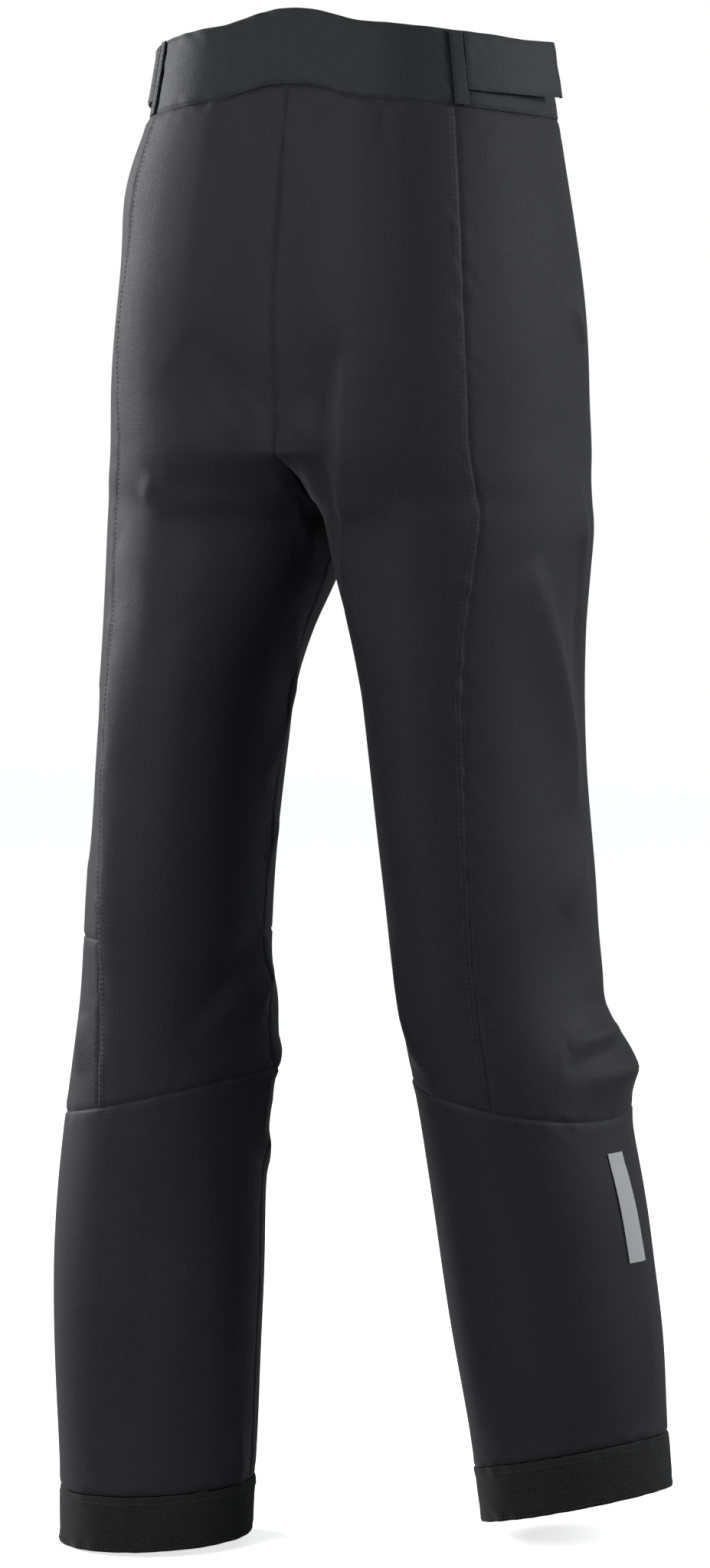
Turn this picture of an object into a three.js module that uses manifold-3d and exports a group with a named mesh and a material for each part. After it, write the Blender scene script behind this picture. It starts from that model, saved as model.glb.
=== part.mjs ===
// Ski pants: waistband, cut-and-sewn shell panels, lining, snow gaiters, zips, snaps and waist tabs.
// Millimetres, +Z up. The wearer faces -Y and the wearer's left is +X.
// The origin is the centre of the waist opening, which is what the pants hang from.
import * as THREE from "three";
import { mergeVertices } from "three/addons/utils/BufferGeometryUtils.js";
import Module from "manifold-3d";

const wasm = await Module();
wasm.setup();

// ---------------------------------------------------------------- driving dimensions
// A "drop" is a distance straight down from the waist opening.
const WAIST = { halfWidth: 128, back: 99, front: 96 };
const BAND_BASE = { halfWidth: 138, back: 106, front: 104 };
const HIGH_HIP = { drop: 110, halfWidth: 149, back: 121, front: 108 };
const SEAT = { drop: 205, halfWidth: 161, back: 134, front: 113 };
const LOW_SEAT = { drop: 285, halfWidth: 165, back: 131, front: 110 };
const SEAT_CLEFT = 8; // the centre back seam sits this much further in than the seat
const CROTCH = { drop: 328, centreY: 20, outer: 168, back: 119, front: 98, legGap: 1.2 };

const THIGH = { drop: 440, halfWidth: 64, halfDepth: 97 };
const KNEE = { drop: 606, halfWidth: 60, halfDepth: 91 };
const CALF = { drop: 800, halfWidth: 70, halfDepth: 76 };
const HEM = { drop: 1019, halfWidth: 65, halfDepth: 66 };
const TOE_OUT = THREE.MathUtils.degToRad(10); // each leg turns outwards below the crotch

// Where the middle of each leg stands at the four leg sizes above: sideways, then backwards.
const STANCE = {
  left: { thigh: [97, 42], knee: [103, 60], calf: [109, 75], hem: [112, 80] },
  right: { thigh: [97, 17], knee: [105, 0], calf: [129, -24], hem: [150, -44] },
};
const HEM_LIFT = { left: 0, right: 21 }; // a bent leg carries its hem higher
const HEM_TILT = { left: -3, right: 15 }; // how far the outer edge of the hem rises above its middle

const BAND_HEIGHT = 50;
const BAND_RISE_BACK = 9;
const BAND_RISE_SIDE = -10;
const BAND_RISE_FRONT = -16;

const KNEE_SEAM_DROP = 608;
const CALF_SEAM_DROP = 714;
const CALF_SEAM_SLANT = 15; // lower by this on the outside, higher by this at the inseam
const CUFF_HEIGHT = 38;

const SHELL = 1.6; // cloth thicknesses
const LINING = 1.0;
const BAND_CLOTH = 2.4;
const CUFF_CLOTH = 2.6;
const SEAM_GAP = 0.7; // what the joining seam takes up between two panels
const INNER_CLEARANCE = 1.2; // between the layers inside the shell

const FLY = { belowBand: 6, length: 150, slotHalf: 6 };
const POCKET = { belowBand: 34, length: 150, slotHalf: 6 };
const SLOT_END = 8; // how far a zip's slot runs on past its teeth
const ZIP = { tapeHalf: 11, tape: 0.8, teethHalf: 2.6, teeth: 2.2, slider: 11, wall: 1.1, play: 0.35 };
const PULL = { length: 26, width: 7, thickness: 1.6, hole: 3.4 };

const STRIP_WIDTH = 9;
const TAB = { length: 88, height: 37, thickness: 2.2, stand: 9, topInset: 2 };
const PATCH = { length: 34, height: 28, thickness: 0.5 };
const CLOSURE_HALF = 36; // the flap at the front closes over the band end by this each way
const SNAP = { radius: 7.5, height: 3, spacing: 22 };
const LIFT = 0.4; // clear space under anything that lies on another piece
const HANGER = { width: 6, drop: 34, span: 26, thickness: 1.2 };
const MARK = { width: 17, height: 74, thickness: 0.5 };

const group = new THREE.Group();

// ---------------------------------------------------------------- colours
const COLOURS = {
  shell: { color: "#26262b", roughness: 0.72, metalness: 0 },
  cuff: { color: "#1a1a1b", roughness: 0.85, metalness: 0 },
  lining: { color: "#3a3c42", roughness: 0.7, metalness: 0 },
  gaiter: { color: "#202124", roughness: 0.5, metalness: 0 },
  elastic: { color: "#18181a", roughness: 0.9, metalness: 0 },
  tape: { color: "#141416", roughness: 0.8, metalness: 0 },
  metal: { color: "#3c3d40", roughness: 0.35, metalness: 1 },
  rubber: { color: "#1c1c1e", roughness: 0.6, metalness: 0 },
  reflective: { color: "#b9bdbc", roughness: 0.3, metalness: 0.2 },
};

function addPiece(name, geometry, colour) {
  const mesh = new THREE.Mesh(geometry, new THREE.MeshStandardMaterial(COLOURS[colour]));
  mesh.name = name;
  group.add(mesh);
}

// ---------------------------------------------------------------- the body that the cloth follows
// Monotone cubic through [drop, value] pairs, so that no size overshoots between two stations.
function through(pairs, drop) {
  const last = pairs.length - 1;
  const at = THREE.MathUtils.clamp(drop, pairs[0][0], pairs[last][0]);
  let i = 0;
  while (i < last - 1 && at > pairs[i + 1][0]) {
    i += 1;
  }
  const slopeOf = (k) => (pairs[k + 1][1] - pairs[k][1]) / (pairs[k + 1][0] - pairs[k][0]);
  const tangentOf = (k) => {
    if (k === 0) {
      return slopeOf(0);
    }
    if (k === last) {
      return slopeOf(last - 1);
    }
    const before = slopeOf(k - 1);
    const after = slopeOf(k);
    return before * after <= 0 ? 0 : (2 * before * after) / (before + after);
  };
  const span = pairs[i + 1][0] - pairs[i][0];
  const f = (at - pairs[i][0]) / span;
  const rise = f * f * (3 - 2 * f);
  const bend = f * (1 - f) * span * (tangentOf(i) * (1 - f) - tangentOf(i + 1) * f);
  return pairs[i][1] * (1 - rise) + pairs[i + 1][1] * rise + bend;
}

// A section has five key points: centre back (or inseam), backmost, outermost, frontmost, and
// centre front (or inseam again). x is sideways from the middle, y is towards the back.
function torsoStation(drop, size, cleft) {
  const reach = size.halfWidth * 0.36;
  return {
    drop,
    keys: [[0, size.back - cleft], [reach, size.back], [size.halfWidth, 0], [reach, -size.front], [0, -size.front]],
    turn: 0,
    round: 0,
  };
}

function legStation(leg, [x, y]) {
  const [s, c] = [Math.sin(TOE_OUT), Math.cos(TOE_OUT)];
  const at = (wide, deep) => [x + leg.halfWidth * wide * c - leg.halfDepth * deep * s,
    y + leg.halfWidth * wide * s + leg.halfDepth * deep * c];
  return { drop: leg.drop, keys: [at(-1, 0), at(0, 1), at(1, 0), at(0, -1), at(-1, 0)], turn: TOE_OUT, round: 1 };
}

// Just above the crotch the centre line dives under the body from both sides.
function underStation(above, depthShare, round) {
  const f = above / (CROTCH.drop - LOW_SEAT.drop);
  const side = (lower, upper) => lower + (upper - lower) * f;
  const back = side(CROTCH.back, LOW_SEAT.back);
  const front = side(CROTCH.front, LOW_SEAT.front);
  const reach = side(CROTCH.outer * 0.42, LOW_SEAT.halfWidth * 0.36);
  const mid = CROTCH.centreY;
  return {
    drop: CROTCH.drop - above,
    keys: [[0, mid + (back - SEAT_CLEFT - mid) * depthShare], [reach, back],
      [side(CROTCH.outer, LOW_SEAT.halfWidth), 4], [reach, -front], [0, mid - (front + mid) * depthShare]],
    turn: 0,
    round,
  };
}

function crotchStation() {
  const inseam = [CROTCH.legGap, CROTCH.centreY];
  const reach = CROTCH.outer * 0.46;
  return {
    drop: CROTCH.drop,
    keys: [inseam, [reach, CROTCH.back], [CROTCH.outer, 8], [reach, -CROTCH.front], inseam],
    turn: TOE_OUT * 0.3,
    round: 1,
  };
}

function stationsOf(side) {
  const stance = STANCE[side];
  const bandDrop = BAND_HEIGHT;
  return [
    torsoStation(-BAND_RISE_BACK, WAIST, 0),
    torsoStation(bandDrop, BAND_BASE, 0),
    torsoStation(HIGH_HIP.drop, HIGH_HIP, SEAT_CLEFT * 0.5),
    torsoStation(SEAT.drop, SEAT, SEAT_CLEFT),
    torsoStation(LOW_SEAT.drop, LOW_SEAT, SEAT_CLEFT),
    underStation(34, 0.86, 0.25),
    underStation(14, 0.52, 0.65),
    crotchStation(),
    legStation(THIGH, stance.thigh),
    legStation(KNEE, stance.knee),
    legStation(CALF, stance.calf),
    legStation(HEM, stance.hem),
  ];
}

const STATIONS = { left: stationsOf("left"), right: stationsOf("right") };

function sectionAt(side, drop) {
  const stations = STATIONS[side];
  const value = (pick) => through(stations.map((station) => [station.drop, pick(station)]), drop);
  const keys = [0, 1, 2, 3, 4].map((k) => [value((s) => s.keys[k][0]), value((s) => s.keys[k][1])]);
  if (drop >= CROTCH.drop) {
    keys[4] = keys[0]; // below the crotch both ends of the section are the inseam
  }
  return {
    keys,
    turn: value((s) => s.turn),
    round: value((s) => s.round),
  };
}

const QUARTER = 3 * 0.5523; // tangent length that makes a cubic follow a quarter of an ellipse
const FLAT = 1.15; // and the gentler one for the nearly flat run across the centre

// around runs from 0 at the centre back (or inseam) by way of 2 at the outside to 4 at the front.
function plan(side, around, drop) {
  const { keys, turn, round } = sectionAt(side, drop);
  const out = [Math.cos(turn), Math.sin(turn)];
  const back = [-Math.sin(turn), Math.cos(turn)];
  const segment = Math.min(3, Math.max(0, Math.floor(around)));
  const f = around - segment;
  const [a, b] = [keys[segment], keys[segment + 1]];
  const run = [b[0] - a[0], b[1] - a[1]];
  const share = (direction, length) => {
    const amount = length * (run[0] * direction[0] + run[1] * direction[1]);
    return [direction[0] * amount, direction[1] * amount];
  };
  const mixed = (flat, curved) => flat.map((value, i) => value * (1 - round) + curved[i] * round);
  const start = [
    mixed(share(out, FLAT), share(back, QUARTER)),
    share(out, QUARTER),
    share(back, QUARTER),
    mixed(share(out, FLAT), share(out, QUARTER)),
  ][segment];
  const finish = [
    mixed(share(out, FLAT), share(out, QUARTER)),
    share(back, QUARTER),
    share(out, QUARTER),
    mixed(share(out, FLAT), share(back, QUARTER)),
  ][segment];
  const rise = f * f * (3 - 2 * f);
  const point = [0, 1].map((i) => a[i] * (1 - rise) + b[i] * rise
    + f * (1 - f) * (start[i] * (1 - f) - finish[i] * f));
  const sign = side === "left" ? 1 : -1;
  return new THREE.Vector3(sign * point[0], point[1], -drop);
}

// A point that stands off the body by an offset along its outward normal.
function offBody(side, around, drop, offset) {
  const step = 0.02;
  const near = plan(side, Math.min(around + step, 4), drop).sub(plan(side, Math.max(around - step, 0), drop));
  const down = plan(side, around, drop + 1).sub(plan(side, around, drop - 1));
  const normal = near.cross(down).normalize();
  if (side === "right") {
    normal.negate();
  }
  return plan(side, around, drop).addScaledVector(normal, offset);
}

function millimetresPerTurn(side, around, drop) {
  const step = 0.03;
  const low = Math.max(0, around - step);
  const high = Math.min(4, around + step);
  return plan(side, high, drop).distanceTo(plan(side, low, drop)) / (high - low);
}

// ---------------------------------------------------------------- seam lines
const smooth = (a, b, f) => a + (b - a) * THREE.MathUtils.smoothstep(f, 0, 1);

function bandTop(around) {
  const rise = around < 2
    ? smooth(BAND_RISE_BACK, BAND_RISE_SIDE, around / 2)
    : smooth(BAND_RISE_SIDE, BAND_RISE_FRONT, around / 2 - 1);
  return -rise;
}

const bandBase = (around) => bandTop(around) + BAND_HEIGHT;
const seatLine = () => LOW_SEAT.drop;
const underLine = () => CROTCH.drop - 14;
const crotchLine = () => CROTCH.drop;
const thighLine = () => THIGH.drop;
const kneeSeam = () => KNEE_SEAM_DROP;
const calfSeam = (around) => CALF_SEAM_DROP - CALF_SEAM_SLANT * Math.cos((around * Math.PI) / 2);

function hemLine(side) {
  return (around) => HEM.drop - HEM_LIFT[side] + HEM_TILT[side] * Math.cos((around * Math.PI) / 2);
}

function cuffLine(side) {
  return (around) => hemLine(side)(around) - CUFF_HEIGHT;
}

// The back outseam runs down the leg towards the back; the front side seam carries the hand pocket.
const OUTSEAM = [[0, 1.5], [50, 1.47], [285, 1.46], [440, 1.44], [606, 1.36], [730, 1.25]];
const FRONT_SEAM = [[0, 2.62], [285, 2.62], [606, 2.7], [800, 2.75], [1030, 2.8]];
const outseam = (drop) => through(OUTSEAM, drop);
const frontSeam = (drop) => through(FRONT_SEAM, drop);
const centreBack = () => 0;
const centreFront = () => 4;

// ---------------------------------------------------------------- closed sheets of cloth
// corner(column, row) gives the sheet's outer and inner points; a wrapped sheet is a ring.
function closedSheet(columns, rows, corner, wrapped = false) {
  const across = wrapped ? columns : columns + 1;
  const positions = [];
  for (const face of [0, 1]) {
    for (let row = 0; row <= rows; row += 1) {
      for (let column = 0; column < across; column += 1) {
        positions.push(...corner(column, row)[face].toArray());
      }
    }
  }
  const layer = across * (rows + 1);
  const at = (column, row, face) => face * layer + row * across + (column % across);
  const index = [];
  const quad = (a, b, c, d) => index.push(a, b, c, a, c, d);
  for (let row = 0; row < rows; row += 1) {
    for (let column = 0; column < columns; column += 1) {
      quad(at(column, row, 0), at(column, row + 1, 0), at(column + 1, row + 1, 0), at(column + 1, row, 0));
      quad(at(column, row, 1), at(column + 1, row, 1), at(column + 1, row + 1, 1), at(column, row + 1, 1));
    }
  }
  for (let column = 0; column < columns; column += 1) {
    quad(at(column, 0, 0), at(column + 1, 0, 0), at(column + 1, 0, 1), at(column, 0, 1));
    quad(at(column, rows, 0), at(column, rows, 1), at(column + 1, rows, 1), at(column + 1, rows, 0));
  }
  if (!wrapped) {
    for (let row = 0; row < rows; row += 1) {
      quad(at(0, row, 0), at(0, row, 1), at(0, row + 1, 1), at(0, row + 1, 0));
      quad(at(columns, row, 0), at(columns, row + 1, 0), at(columns, row + 1, 1), at(columns, row, 1));
    }
  }
  return facingOut(positions, index);
}

function facingOut(positions, index) {
  const point = (i) => new THREE.Vector3().fromArray(positions, 3 * i);
  let volume = 0;
  for (let i = 0; i < index.length; i += 3) {
    volume += point(index[i]).dot(point(index[i + 1]).cross(point(index[i + 2])));
  }
  if (volume < 0) {
    for (let i = 0; i < index.length; i += 3) {
      [index[i + 1], index[i + 2]] = [index[i + 2], index[i + 1]];
    }
  }
  const geometry = new THREE.BufferGeometry();
  geometry.setAttribute("position", new THREE.Float32BufferAttribute(positions, 3));
  geometry.setIndex(index);
  return geometry;
}

// Rows are [line, rows down to the next line]; the last line closes the panel.
function rowDrops(lines, around) {
  const drops = [];
  lines.forEach(([line, count], i) => {
    const here = line(around);
    if (i === lines.length - 1) {
      drops.push(here);
      return;
    }
    const next = lines[i + 1][0](around);
    for (let row = 0; row < count; row += 1) {
      drops.push(here + ((next - here) * row) / count);
    }
  });
  return drops;
}

function clothPanel(side, from, to, columns, lines, cloth, edges = {}) {
  const rows = rowDrops(lines, 0).length - 1;
  const half = edges.gap ?? SEAM_GAP / 2;
  return closedSheet(columns, rows, (column, row) => {
    const share = column / columns;
    const guess = rowDrops(lines, 4 * share)[row];
    let around = from(guess) + (to(guess) - from(guess)) * share;
    let drop = rowDrops(lines, around)[row];
    const start = from(drop);
    const end = to(drop);
    const startGap = edges.startGap?.(drop) ?? half;
    const endGap = edges.endGap?.(drop) ?? half;
    const low = start + startGap / millimetresPerTurn(side, start, drop);
    const high = end - endGap / millimetresPerTurn(side, end, drop);
    around = low + (high - low) * share;
    drop = rowDrops(lines, around)[row];
    if (row === 0) {
      drop += half;
    }
    if (row === rows) {
      drop -= half;
    }
    const outer = edges.outer ?? 0;
    return [offBody(side, around, drop, outer), offBody(side, around, drop, outer - cloth)];
  });
}

function clothRing(side, columns, lines, outer, cloth) {
  const rows = rowDrops(lines, 0).length - 1;
  return closedSheet(columns, rows, (column, row) => {
    const around = (4 * column) / columns;
    let drop = rowDrops(lines, around)[row];
    if (row === 0) {
      drop += SEAM_GAP / 2;
    }
    return [offBody(side, around, drop, outer), offBody(side, around, drop, outer - cloth)];
  }, true);
}

// A patch on the waistband. along runs from the wearer's right (-) through the back (0) to the left.
function bandSheet(from, to, columns, top, base, outer, cloth, rows = 2) {
  return closedSheet(columns, rows, (column, row) => {
    const along = from + ((to - from) * column) / columns;
    const side = along < 0 ? "right" : "left";
    const around = Math.abs(along);
    const drop = bandTop(around) + top + ((base - top) * row) / rows;
    const face = typeof outer === "function" ? outer(column / columns) : outer;
    return [offBody(side, around, drop, face), offBody(side, around, drop, face - cloth)];
  });
}

// ---------------------------------------------------------------- where the zips lie
const bandMiddle = BAND_HEIGHT / 2;
const closureTurn = millimetresPerTurn("left", 3.8, bandMiddle);
const flyTop = bandBase(4) + FLY.belowBand;
const pocketTop = BAND_HEIGHT + POCKET.belowBand;

// A point by its distance across the centre front, the wearer's left being positive.
function frontPoint(across, drop, offset) {
  return offBody(across >= 0 ? "left" : "right", 4 - Math.abs(across) / closureTurn, drop, offset);
}

function pocketPoint(side) {
  return (aside, drop, offset) => {
    const seam = frontSeam(drop);
    return offBody(side, seam + aside / millimetresPerTurn(side, seam, drop), drop, offset);
  };
}

function frameAlong(start, end, outwardHint) {
  const down = end.clone().sub(start).normalize();
  const across = down.clone().cross(outwardHint).normalize();
  const outward = across.clone().cross(down).normalize();
  return { start, across, down, outward, length: end.distanceTo(start) };
}

// A zip is straight and the cloth curves round it, so its tape lies as deep as the cloth needs.
function zipRun(point, top, length) {
  const middle = top + length / 2;
  const outwardHint = point(0.01, middle, 1).sub(point(0.01, middle, 0));
  const frame = frameAlong(point(0.01, top, 0), point(0.01, top + length, 0), outwardHint);
  let tapeFace = -ZIP.teeth - ZIP.play;
  let surface = 0;
  for (let step = 0; step <= 12; step += 1) {
    const drop = top - SLOT_END + ((length + 2 * SLOT_END) * step) / 12;
    for (const aside of [-ZIP.tapeHalf - 1, -FLY.slotHalf, FLY.slotHalf, ZIP.tapeHalf + 1]) {
      const height = (offset) => point(aside, drop, offset).sub(frame.start).dot(frame.outward);
      tapeFace = Math.min(tapeFace, height(-SHELL) - INNER_CLEARANCE);
      surface = Math.max(surface, height(0));
    }
  }
  return { ...frame, tapeFace, depth: surface - tapeFace + ZIP.tape };
}

const flyZip = zipRun(frontPoint, flyTop, FLY.length);
const pocketZips = {
  left: zipRun(pocketPoint("left"), pocketTop, POCKET.length),
  right: zipRun(pocketPoint("right"), pocketTop, POCKET.length),
};
const shieldInset = flyZip.depth + INNER_CLEARANCE;
const liningInset = Math.max(pocketZips.left.depth, pocketZips.right.depth, shieldInset + LINING)
  + 2 * INNER_CLEARANCE;
const gaiterInset = liningInset + LINING + 2;

// ---------------------------------------------------------------- shell panels of each leg
const inSlot = (top, length, drop) => drop > top - SLOT_END && drop < top + length + SLOT_END;
const flyEdge = (drop) => (inSlot(flyTop, FLY.length, drop) ? FLY.slotHalf : SEAM_GAP / 2);
const pocketEdge = (drop) => (inSlot(pocketTop, POCKET.length, drop) ? POCKET.slotHalf : SEAM_GAP / 2);

// A row on each side of every slot's ends, so that the slot opens and closes within 2 mm.
const slotEnds = [pocketTop - SLOT_END, pocketTop + POCKET.length + SLOT_END, flyTop + FLY.length + SLOT_END];
const slotRows = slotEnds.flatMap((drop) => [drop - 1, drop + 1]).sort((a, b) => a - b);
const HIP_LINES = [
  [bandBase, 1],
  ...slotRows.map((drop, i) => [() => drop, Math.ceil(((slotRows[i + 1] ?? drop) - drop) / 55) || 1]),
  [seatLine, 2], [underLine, 1], [crotchLine, 3], [thighLine, 4],
];

for (const side of ["left", "right"]) {
  const toKnee = [...HIP_LINES, [kneeSeam, 1]];
  const toCalf = [...HIP_LINES, [kneeSeam, 3], [calfSeam, 1]];
  const overKnee = [[kneeSeam, 3], [calfSeam, 1]];
  const lower = [[calfSeam, 6], [cuffLine(side), 1]];
  const kneeStart = side === "left" ? outseam : frontSeam;

  addPiece(`back_panel_${side}`, clothPanel(side, centreBack, outseam, 7, toCalf, SHELL), "shell");
  addPiece(`side_panel_${side}`,
    clothPanel(side, outseam, frontSeam, 6, side === "left" ? toKnee : toCalf, SHELL, { endGap: pocketEdge }),
    "shell");
  addPiece(`front_panel_${side}`,
    clothPanel(side, frontSeam, centreFront, 6, toKnee, SHELL, { startGap: pocketEdge, endGap: flyEdge }),
    "shell");
  addPiece(`knee_panel_${side}`, clothPanel(side, kneeStart, centreFront, 8, overKnee, SHELL), "shell");
  addPiece(`lower_back_panel_${side}`, clothPanel(side, centreBack, frontSeam, 11, lower, SHELL), "shell");
  addPiece(`lower_front_panel_${side}`, clothPanel(side, frontSeam, centreFront, 5, lower, SHELL), "shell");
  addPiece(`hem_cuff_${side}`,
    clothRing(side, 24, [[cuffLine(side), 2], [hemLine(side), 1]], 0.6, CUFF_CLOTH), "cuff");

  const liningTop = (around) => bandBase(around) + 4;
  const liningEnd = (around) => hemLine(side)(around) - CUFF_HEIGHT - 70;
  const liningLines = [[liningTop, 3], [seatLine, 1], [underLine, 1], [crotchLine, 2], [thighLine, 2],
    [kneeSeam, 3], [liningEnd, 1]];
  addPiece(`lining_${side}`,
    clothPanel(side, centreBack, centreFront, 16, liningLines, LINING, { outer: -liningInset, gap: 1 }),
    "lining");

  const gaiterTop = (around) => liningEnd(around) + 14;
  const gaiterEnd = (around) => hemLine(side)(around) - CUFF_HEIGHT * 0.5;
  addPiece(`snow_gaiter_${side}`,
    clothRing(side, 20, [[gaiterTop, 3], [gaiterEnd, 1]], -gaiterInset, LINING), "gaiter");
  const elasticEnd = (around) => gaiterEnd(around) + 10;
  addPiece(`gaiter_elastic_${side}`,
    clothRing(side, 20, [[gaiterEnd, 1], [elasticEnd, 1]], -gaiterInset, LINING * 2), "elastic");
}

// ---------------------------------------------------------------- waistband
const backEnd = outseam(BAND_HEIGHT);
const sideEnd = frontSeam(0);
const bandTurn = (around) => millimetresPerTurn("left", around, bandMiddle);
const gapTurn = SEAM_GAP / 2 / bandTurn(backEnd);
const bandFoot = BAND_HEIGHT - SEAM_GAP;
const closureEnd = 4 - CLOSURE_HALF / closureTurn;

const band = (name, from, to, columns) => addPiece(name,
  bandSheet(from, to, columns, 0, bandFoot, 0, BAND_CLOTH), "shell");
band("waistband_back", -backEnd + gapTurn, backEnd - gapTurn, 18);
addPiece("waistband_facing",
  bandSheet(-closureEnd, closureEnd, 36, 1.5, BAND_HEIGHT - 3, -BAND_CLOTH - 1.2, 1.4, 1), "elastic");

for (const [side, sign] of [["left", 1], ["right", -1]]) {
  band(`waistband_side_${side}`, sign * (backEnd + gapTurn), sign * (sideEnd - gapTurn), 9);
  band(`waistband_front_${side}`, sign * (sideEnd + gapTurn), sign * (closureEnd - gapTurn), 7);

  const stripEnd = backEnd + STRIP_WIDTH / bandTurn(backEnd);
  addPiece(`waistband_strip_${side}`,
    bandSheet(sign * (backEnd - 2 * gapTurn), sign * stripEnd, 2, 0.6, bandFoot, LIFT + SHELL, SHELL), "shell");

  const tabStart = stripEnd + gapTurn;
  const tabEnd = tabStart + TAB.length / bandTurn(2);
  const standing = (share) => LIFT + TAB.thickness + TAB.stand * share ** 2;
  addPiece(`adjuster_tab_${side}`,
    bandSheet(sign * tabStart, sign * tabEnd, 8, TAB.topInset, TAB.topInset + TAB.height, standing, TAB.thickness),
    "shell");
  const patchTurn = PATCH.length / bandTurn(2);
  const patchTop = TAB.topInset + (TAB.height - PATCH.height) / 2;
  const patchStart = tabEnd - patchTurn - 0.05;
  const underTab = (share) => {
    const along = (patchStart + patchTurn * share - tabStart) / (tabEnd - tabStart);
    return standing(along) - TAB.thickness - LIFT;
  };
  addPiece(`hook_patch_${side}`,
    bandSheet(sign * patchStart, sign * (patchStart + patchTurn), 4, patchTop, patchTop + PATCH.height, underTab,
      PATCH.thickness),
    "elastic");
  addPiece(`loop_patch_${side}`,
    bandSheet(sign * patchStart, sign * (patchStart + patchTurn), 4, patchTop, patchTop + PATCH.height,
      LIFT + PATCH.thickness, PATCH.thickness),
    "elastic");
}

// ---------------------------------------------------------------- closure at the centre front
// Laid out by its distance across the centre front, the wearer's left being positive.
function frontSheet(from, to, columns, top, base, outer, cloth) {
  return closedSheet(columns, 2, (column, row) => {
    const across = from + ((to - from) * column) / columns;
    const side = across >= 0 ? "left" : "right";
    const around = 4 - Math.abs(across) / closureTurn;
    const drop = top(around) + ((base(around) - top(around)) * row) / 2;
    return [offBody(side, around, drop, outer), offBody(side, around, drop, outer - cloth)];
  });
}

const flapFoot = (around) => bandTop(around) + bandFoot;
const underlapFace = -BAND_CLOTH - 3;
addPiece("closure_flap",
  frontSheet(CLOSURE_HALF - SEAM_GAP / 2, -CLOSURE_HALF + SEAM_GAP / 2, 8, bandTop, flapFoot, 0, BAND_CLOTH),
  "shell");
addPiece("closure_underlap",
  frontSheet(CLOSURE_HALF - 6, -CLOSURE_HALF + 4, 8, (t) => bandTop(t) + 1.5, (t) => flapFoot(t) - 2, underlapFace,
    SHELL),
  "shell");
addPiece("fly_shield",
  frontSheet(20, -20, 6, () => flyTop - FLY.belowBand + 1, () => flyTop + FLY.length + 14, -shieldInset, LINING), "lining");

// Moves a geometry from (across, down, outward) axes to a place on the body.
function placed(geometry, origin, across, down, outward) {
  const basis = new THREE.Matrix4().makeBasis(across, down, outward).setPosition(origin);
  return geometry.applyMatrix4(basis);
}

// A dome turned about its own axis, with its flat side on the cloth.
function dome(radius, height) {
  const profile = [[0, 0], [radius, 0], [radius, height * 0.35], [radius * 0.8, height * 0.8], [0, height]];
  return new THREE.LatheGeometry(profile.map(([r, z]) => new THREE.Vector2(r, z)), 20).rotateX(Math.PI / 2);
}

const snapAcross = -CLOSURE_HALF + SNAP.radius + 6;
[0, 1].forEach((i) => {
  const drop = bandTop(4) + bandMiddle + (i - 0.5) * SNAP.spacing;
  const face = frontPoint(snapAcross, drop, 0);
  const outward = frontPoint(snapAcross, drop, 1).sub(face).normalize();
  const sideways = new THREE.Vector3(1, 0, 0);
  const down = outward.clone().cross(sideways).normalize();
  const across = down.clone().cross(outward).normalize();
  const on = (geometry, offset) => placed(geometry, frontPoint(snapAcross, drop, offset), across, down, outward);
  addPiece(`snap_cap_${i + 1}`, on(dome(SNAP.radius, SNAP.height), 0.3), "metal");
  addPiece(`snap_stud_${i + 1}`, on(dome(SNAP.radius * 0.8, 2), underlapFace + 0.3), "metal");
});

// ---------------------------------------------------------------- zips
function asSolid(geometry) {
  const bare = geometry.clone();
  bare.deleteAttribute("normal");
  bare.deleteAttribute("uv");
  const merged = mergeVertices(bare, 1e-4);
  return new wasm.Manifold(new wasm.Mesh({
    numProp: 3,
    vertProperties: merged.attributes.position.array,
    triVerts: new Uint32Array(merged.index.array),
  }));
}

function asGeometry(solid) {
  const mesh = solid.getMesh();
  const geometry = new THREE.BufferGeometry();
  geometry.setAttribute("position", new THREE.Float32BufferAttribute(mesh.vertProperties, 3));
  geometry.setIndex(Array.from(mesh.triVerts));
  return geometry;
}

function block(x0, x1, y0, y1, z0, z1) {
  return new THREE.BoxGeometry(x1 - x0, y1 - y0, z1 - z0).translate((x0 + x1) / 2, (y0 + y1) / 2, (z0 + z1) / 2);
}

// The slider straddles the teeth: a plate over them, two side walls, and ears with a pin for the pull.
const PIN = { radius: 0.9, height: 3.6, earGap: 2.2 };
function sliderGeometry() {
  const inner = ZIP.teethHalf + ZIP.play * 2;
  const outer = inner + ZIP.wall;
  const plateTop = ZIP.play + ZIP.wall;
  let body = asSolid(block(-outer, outer, 0, ZIP.slider, ZIP.play, plateTop));
  for (const sign of [-1, 1]) {
    const [x0, x1] = sign < 0 ? [-outer, -inner] : [inner, outer];
    body = body.add(asSolid(block(x0, x1, 0, ZIP.slider, -ZIP.teeth + 0.2, plateTop)));
    const [e0, e1] = sign < 0 ? [-PIN.earGap - 1, -PIN.earGap] : [PIN.earGap, PIN.earGap + 1];
    body = body.add(asSolid(block(e0, e1, 1, 4.4, ZIP.play, PIN.height + 1.4)));
  }
  const pin = new THREE.CylinderGeometry(PIN.radius, PIN.radius, 2 * PIN.earGap + 1, 12)
    .rotateZ(Math.PI / 2).translate(0, 2.7, PIN.height);
  return asGeometry(body.add(asSolid(pin)));
}

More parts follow.
